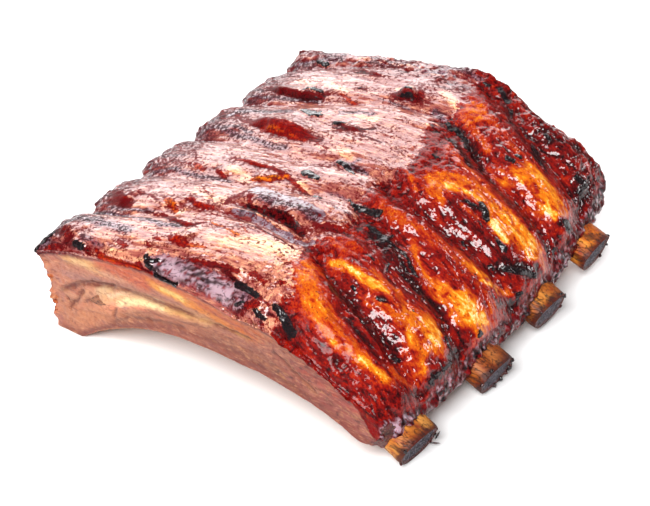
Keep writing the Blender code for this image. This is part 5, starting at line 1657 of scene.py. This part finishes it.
def surface_material(name, crust):
    m, tree, shader = new_material(name)
    where = node(tree, "ShaderNodeTexCoord").outputs["Object"]
    tint = attribute(tree, "tint")[0]
    _, char, grit, third = attribute(tree, "mask")
    fine = noise_node(tree, 2700.0, 3.0, 0.6, where)
    mid = noise_node(tree, 1050.0, 3.0, 0.6, where)
    wide = noise_node(tree, 480.0, 2.0, 0.5, where)
    if crust:
        flow_at = node(tree, "ShaderNodeAttribute", attribute_name="grain_at").outputs["Vector"]
    else:
        flow_at = where
    along_grain = node(tree, "ShaderNodeMapping")
    along_grain.inputs["Scale"].default_value = (0.2, 1.0, 1.0)
    tree.links.new(flow_at, along_grain.inputs["Vector"])
    fibre = noise_node(tree, 1700.0, 3.0, 0.6, along_grain.outputs["Vector"])
    if crust:
        mul = lambda p, q: math_node(tree, "MULTIPLY", p, q)
        plus = lambda p, q: math_node(tree, "ADD", p, q)
        minus = lambda p, q: math_node(tree, "SUBTRACT", p, q)
        _, veil_sheen_level, red_level, zone = attribute(tree, "levels")
        _, gloss_out, gloss_in, soot = attribute(tree, "gloss")
        _, lines, aside, right = attribute(tree, "extra")
        # ragged edges: the fields are cut off at a level that the noises shift
        jitter = plus(mul(minus(mid, 0.5), 1.2), mul(minus(fine, 0.5), 0.8))
        inside = ramp(tree, plus(zone, mul(jitter, 1.35)), 0.44, 0.56)
        burnt = ramp(tree, plus(char, jitter), 0.45, 0.55)
        # browning: both scales of colour are read at a level shifted by grain and grit
        speck = noise_node(tree, 1900.0, 1.0, 0.5, where)
        streaky = plus(mul(minus(fibre, 0.5), 0.8), plus(mul(minus(mid, 0.5), 0.3), mul(minus(fine, 0.5), 0.22)))
        spots = minus(mul(ramp(tree, speck, 0.34, 0.28), 0.2), mul(ramp(tree, speck, 0.66, 0.7), 0.3))
        reds = scale_of_colour(tree, plus(red_level, mul(plus(streaky, spots), 0.72)), RED_SCALE)
        # veil colour: its pale end is a painted reflection of the light
        sheen_veils = scale_of_colour(tree, plus(veil_sheen_level, mul(streaky, 0.85)), VEIL_SHEEN_SCALE)
        # over the grit in the veil the colour turns grey-lavender: soot, and painted sheen
        ash_sheen = mix_colour(tree, tuple(srgb(104, 78, 92)), tuple(srgb(150, 128, 142)), ramp(tree, fibre, 0.4, 0.6))
        sheen_veils = mix_colour(tree, sheen_veils, ash_sheen, mul(ramp(tree, plus(soot, mul(jitter, 1.2)), 0.35, 0.75), 0.6))
        colour = mix_colour(tree, sheen_veils, reds, inside)
        colour = mix_colour(tree, colour, tint, ramp(tree, plus(aside, mul(jitter, 0.8)), 0.4, 0.6))
        # dark flecks
        both = plus(mul(mid, 0.62), mul(fine, 0.38))
        fleck = ramp(tree, minus(both, minus(0.63, mul(third, 0.16))), 0.0, 0.02)
        # fine dark lines that follow the grain
        thread = noise_node(tree, 620.0, 2.0, 0.55, along_grain.outputs["Vector"])
        line = ramp(tree, math_node(tree, "ABSOLUTE", minus(thread, 0.5)), 0.012, 0.004)
        line = mul(line, lines)
        mark = math_node(tree, "MAXIMUM", fleck, mul(line, ramp(tree, wide, 0.42, 0.55)))
        fleck_colour = mix_colour(tree, tuple(srgb(92, 4, 8)), tuple(srgb(26, 7, 12)), soot)
        colour = mix_colour(tree, colour, fleck_colour, mul(mark, 0.92))
        coal = mix_colour(tree, tuple(srgb(14, 9, 12)), tuple(srgb(52, 16, 22)), ramp(tree, fine, 0.5, 0.7))
        colour = mix_colour(tree, colour, coal, burnt)
        tree.links.new(colour, shader.inputs["Base Color"])
        gloss = plus(mul(gloss_out, minus(1.0, inside)), mul(gloss_in, inside))
        gloss = mul(gloss, minus(1.0, mark))
        outline = mul(burnt, minus(1.0, ramp(tree, plus(char, jitter), 0.62, 0.74)))
        gloss = mul(gloss, minus(1.0, outline))
        tree.links.new(gloss, shader.inputs["Coat Weight"])
        shader.inputs["Coat Roughness"].default_value = 0.06
        shader.inputs["Coat IOR"].default_value = 1.5
        shader.inputs["Specular IOR Level"].default_value = 0.06
        rough = plus(mul(mid, 0.3), 0.3)
        tree.links.new(rough, shader.inputs["Roughness"])
        height = plus(mul(fine, 0.35), mul(mid, 0.75))
        height = plus(height, mul(wide, 0.9))
        height = mul(height, grit)
        height = plus(height, mul(fibre, 0.25))
        height = minus(height, mul(mark, 0.12))
        distance = 0.00034
    else:
        lift = ramp(tree, fibre, 0.5, 0.8)
        colour = mix_colour(tree, tint, tuple(srgb(222, 160, 116)), math_node(tree, "MULTIPLY", lift, 0.35))
        shade = ramp(tree, mid, 0.5, 0.72)
        colour = mix_colour(tree, colour, tuple(srgb(112, 42, 32)), math_node(tree, "MULTIPLY", shade, 0.4))
        seam = noise_node(tree, 520.0, 2.0, 0.55, along_grain.outputs["Vector"])
        seam = ramp(tree, math_node(tree, "ABSOLUTE", math_node(tree, "SUBTRACT", seam, 0.5)), 0.02, 0.004)
        colour = mix_colour(tree, colour, tuple(srgb(92, 36, 30)), math_node(tree, "MULTIPLY", seam, 0.45))
        pores = ramp(tree, fine, 0.6, 0.72)
        colour = mix_colour(tree, colour, tuple(srgb(84, 28, 22)), math_node(tree, "MULTIPLY", pores, 0.4))
        tree.links.new(colour, shader.inputs["Base Color"])
        rough = math_node(tree, "ADD", math_node(tree, "MULTIPLY", mid, 0.3), 0.32)
        tree.links.new(rough, shader.inputs["Roughness"])
        shader.inputs["Coat Weight"].default_value = 0.25
        shader.inputs["Coat Roughness"].default_value = 0.25
        shader.inputs["Specular IOR Level"].default_value = 0.4
        height = math_node(tree, "ADD", math_node(tree, "MULTIPLY", fine, 0.4), math_node(tree, "MULTIPLY", mid, 0.7))
        height = math_node(tree, "ADD", height, math_node(tree, "MULTIPLY", fibre, 0.5))
        distance = 0.0002
    shader.inputs["Subsurface Weight"].default_value = 0.12
    shader.inputs["Subsurface Radius"].default_value = (1.0, 0.35, 0.15)
    shader.inputs["Subsurface Scale"].default_value = 0.0015
    b = node(tree, "ShaderNodeBump")
    b.inputs["Strength"].default_value = 1.0
    b.inputs["Distance"].default_value = distance
    tree.links.new(height, b.inputs["Height"])
    tree.links.new(b.outputs["Normal"], shader.inputs["Normal"])
    if crust:
        # the set glaze evens out the crust below it
        g = node(tree, "ShaderNodeBump")
        g.inputs["Strength"].default_value = 1.0
        g.inputs["Distance"].default_value = 0.00013
        soft_wide = noise_node(tree, 620.0, 0.0, 0.5, where)
        soft_mid = noise_node(tree, 1350.0, 0.0, 0.5, where)
        even = mul(plus(soft_wide, mul(soft_mid, 0.5)), plus(mul(grit, 0.7), mul(right, 0.8)))
        tree.links.new(plus(even, mul(mul(soft_mid, burnt), 0.9)), g.inputs["Height"])
        b = g
    tree.links.new(b.outputs["Normal"], shader.inputs["Coat Normal"])
    return m


def bone_material():
    m, tree, shader = new_material("toasted_bone_look")
    where = node(tree, "ShaderNodeTexCoord").outputs["Object"]
    tint = attribute(tree, "tint")[0]
    _, cap, grit, _ = attribute(tree, "mask")
    stretch = node(tree, "ShaderNodeMapping")
    stretch.inputs["Scale"].default_value = (0.16, 1.0, 1.0)
    tree.links.new(where, stretch.inputs["Vector"])
    grain = noise_node(tree, 1500.0, 3.0, 0.6, stretch.outputs["Vector"])
    pores = noise_node(tree, 2400.0, 2.0, 0.6, where)
    streak = ramp(tree, grain, 0.5, 0.75)
    colour = mix_colour(tree, tint, tuple(srgb(84, 34, 12)), math_node(tree, "MULTIPLY", streak, 0.6))
    split = noise_node(tree, 800.0, 2.0, 0.5, stretch.outputs["Vector"])
    split = ramp(tree, math_node(tree, "ABSOLUTE", math_node(tree, "SUBTRACT", split, 0.5)), 0.03, 0.008)
    split = math_node(tree, "MULTIPLY", split, math_node(tree, "SUBTRACT", 1.0, cap))
    colour = mix_colour(tree, colour, tuple(srgb(38, 12, 6)), math_node(tree, "MULTIPLY", split, 0.75))
    colour = mix_colour(tree, colour, tuple(srgb(10, 8, 12)), math_node(tree, "MULTIPLY", math_node(tree, "MULTIPLY", ramp(tree, pores, 0.5, 0.6), cap), 0.9))
    colour = mix_colour(tree, colour, tuple(srgb(132, 126, 140)), math_node(tree, "MULTIPLY", math_node(tree, "MULTIPLY", ramp(tree, pores, 0.42, 0.34), cap), 0.7))
    tree.links.new(colour, shader.inputs["Base Color"])
    rough = math_node(tree, "ADD", math_node(tree, "MULTIPLY", grain, 0.3), 0.34)
    tree.links.new(rough, shader.inputs["Roughness"])
    shader.inputs["Specular IOR Level"].default_value = 0.25
    shader.inputs["Subsurface Weight"].default_value = 0.06
    shader.inputs["Subsurface Radius"].default_value = (1.0, 0.6, 0.3)
    shader.inputs["Subsurface Scale"].default_value = 0.001
    b = node(tree, "ShaderNodeBump")
    b.inputs["Strength"].default_value = 0.9
    b.inputs["Distance"].default_value = 0.00018
    depth = math_node(tree, "ADD", grain, math_node(tree, "MULTIPLY", pores, cap))
    tree.links.new(math_node(tree, "SUBTRACT", depth, math_node(tree, "MULTIPLY", split, 1.2)), b.inputs["Height"])
    tree.links.new(b.outputs["Normal"], shader.inputs["Normal"])
    return m


# =========================================================================================
# put it together
# =========================================================================================
def add(name, mesh, material, replaced=()):
    mesh.materials.append(material)
    obj = bpy.data.objects.new(name, mesh)
    bpy.context.scene.collection.objects.link(obj)
    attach(obj, "root")
    if replaced:
        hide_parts(*replaced)
    return obj


CRUST_LOOK = surface_material("glazed_crust_look", True)
FLESH_LOOK = surface_material("cut_meat_look", False)
BONE_LOOK = bone_material()
flesh_mesh, crust_mesh, crust_points, crust_normals, crust_masks, crust_down = build_meat()
add("meat_flesh", flesh_mesh, FLESH_LOOK, ("meat",))
add("meat_crust", crust_mesh, CRUST_LOOK)
for i in range(4):
    add(f"rib_bone_{i + 1}", build_bone(i), BONE_LOOK, (f"bone_{i + 1}",))

burnt = build_crumbs("burnt_crumb_surface", burnt_lumps(), [(26, 8, 10), (70, 10, 10), (12, 6, 8)], 0.8)
add("burnt_crumbs", burnt, CRUST_LOOK)
browned = build_crumbs("meat_crumb_surface", heel_lumps(), [(176, 98, 56), (186, 124, 88), (120, 46, 26)], 0.15)
add("meat_crumbs", browned, CRUST_LOOK)

# =========================================================================================
# floor, light and camera
# =========================================================================================
floor_mesh = bpy.data.meshes.new("floor")
bm = bmesh.new()
bmesh.ops.create_grid(bm, x_segments=1, y_segments=1, size=4.0)
bm.to_mesh(floor_mesh)
bm.free()
floor = bpy.data.objects.new("floor", floor_mesh)
floor_look, floor_tree, floor_shader = new_material("floor_look")
floor_shader.inputs["Base Color"].default_value = (0.86, 0.86, 0.86, 1)
floor_shader.inputs["Roughness"].default_value = 0.9
floor_mesh.materials.append(floor_look)
bpy.context.scene.collection.objects.link(floor)

world = bpy.data.worlds.new("studio")
world.use_nodes = True
world.node_tree.nodes["Background"].inputs[0].default_value = (1.0, 1.0, 1.0, 1)
world.node_tree.nodes["Background"].inputs[1].default_value = 0.07
bpy.context.scene.world = world

AIM = Vector(tuple((np.array([0.0, 0.0, 20.0]) + SHIFT) * MM))


def softbox(name, azimuth, elevation, distance, width, height, power, colour=(1, 1, 1), aim=AIM):
    """azimuth from +Y towards +X"""
    a, e = math.radians(azimuth), math.radians(elevation)
    back = Vector((math.sin(a) * math.cos(e), math.cos(a) * math.cos(e), math.sin(e)))
    data = bpy.data.lights.new(name, "AREA")
    data.shape = "RECTANGLE"
    data.size, data.size_y = width, height
    data.energy = power
    data.color = colour
    obj = bpy.data.objects.new(name, data)
    obj.location = aim + back * distance
    obj.rotation_mode = "QUATERNION"
    obj.rotation_quaternion = (-back).to_track_quat("-Z", "Y")
    bpy.context.scene.collection.objects.link(obj)
    return obj


softbox("back_softbox", -44, 27, 1.0, 1.12, 0.86, 14.6, (1.0, 0.98, 0.99))
softbox("left_high", -96, 66, 1.0, 0.19, 0.19, 1.7, (1.0, 0.97, 0.98))
softbox("back_right_strip", 25, 44, 1.0, 0.2, 0.16, 1.3)
softbox("right_low", 50, 17, 1.0, 0.3, 0.13, 1.7, (1.0, 0.95, 0.98))
softbox("front_fill", 162, 44, 1.3, 0.72, 0.6, 29.0)

cam_data = bpy.data.cameras.new("camera")
cam_data.sensor_width = 36.0
cam_data.lens = 1988.5 * 36.0 / 650.0
cam_data.shift_x = -(329.5 - 325.0) / 650.0
cam_data.shift_y = (251.3 - 253.0) / 650.0
cam_data.clip_start, cam_data.clip_end = 0.01, 20.0
camera = bpy.data.objects.new("camera", cam_data)
a, e = math.radians(35.2), math.radians(35.5)
back = Vector((math.sin(a) * math.cos(e), -math.cos(a) * math.cos(e), math.sin(e)))
target = Vector(tuple((np.array([2.9, -5.7, 16.3]) + SHIFT) * MM))
camera.location = target + back * 0.557
camera.rotation_mode = "QUATERNION"
camera.rotation_quaternion = (-back).to_track_quat("-Z", "Y")
bpy.context.scene.collection.objects.link(camera)
bpy.context.scene.camera = camera
bpy.context.scene.view_settings.view_transform = "Standard"
bpy.context.scene.view_settings.look = "None"
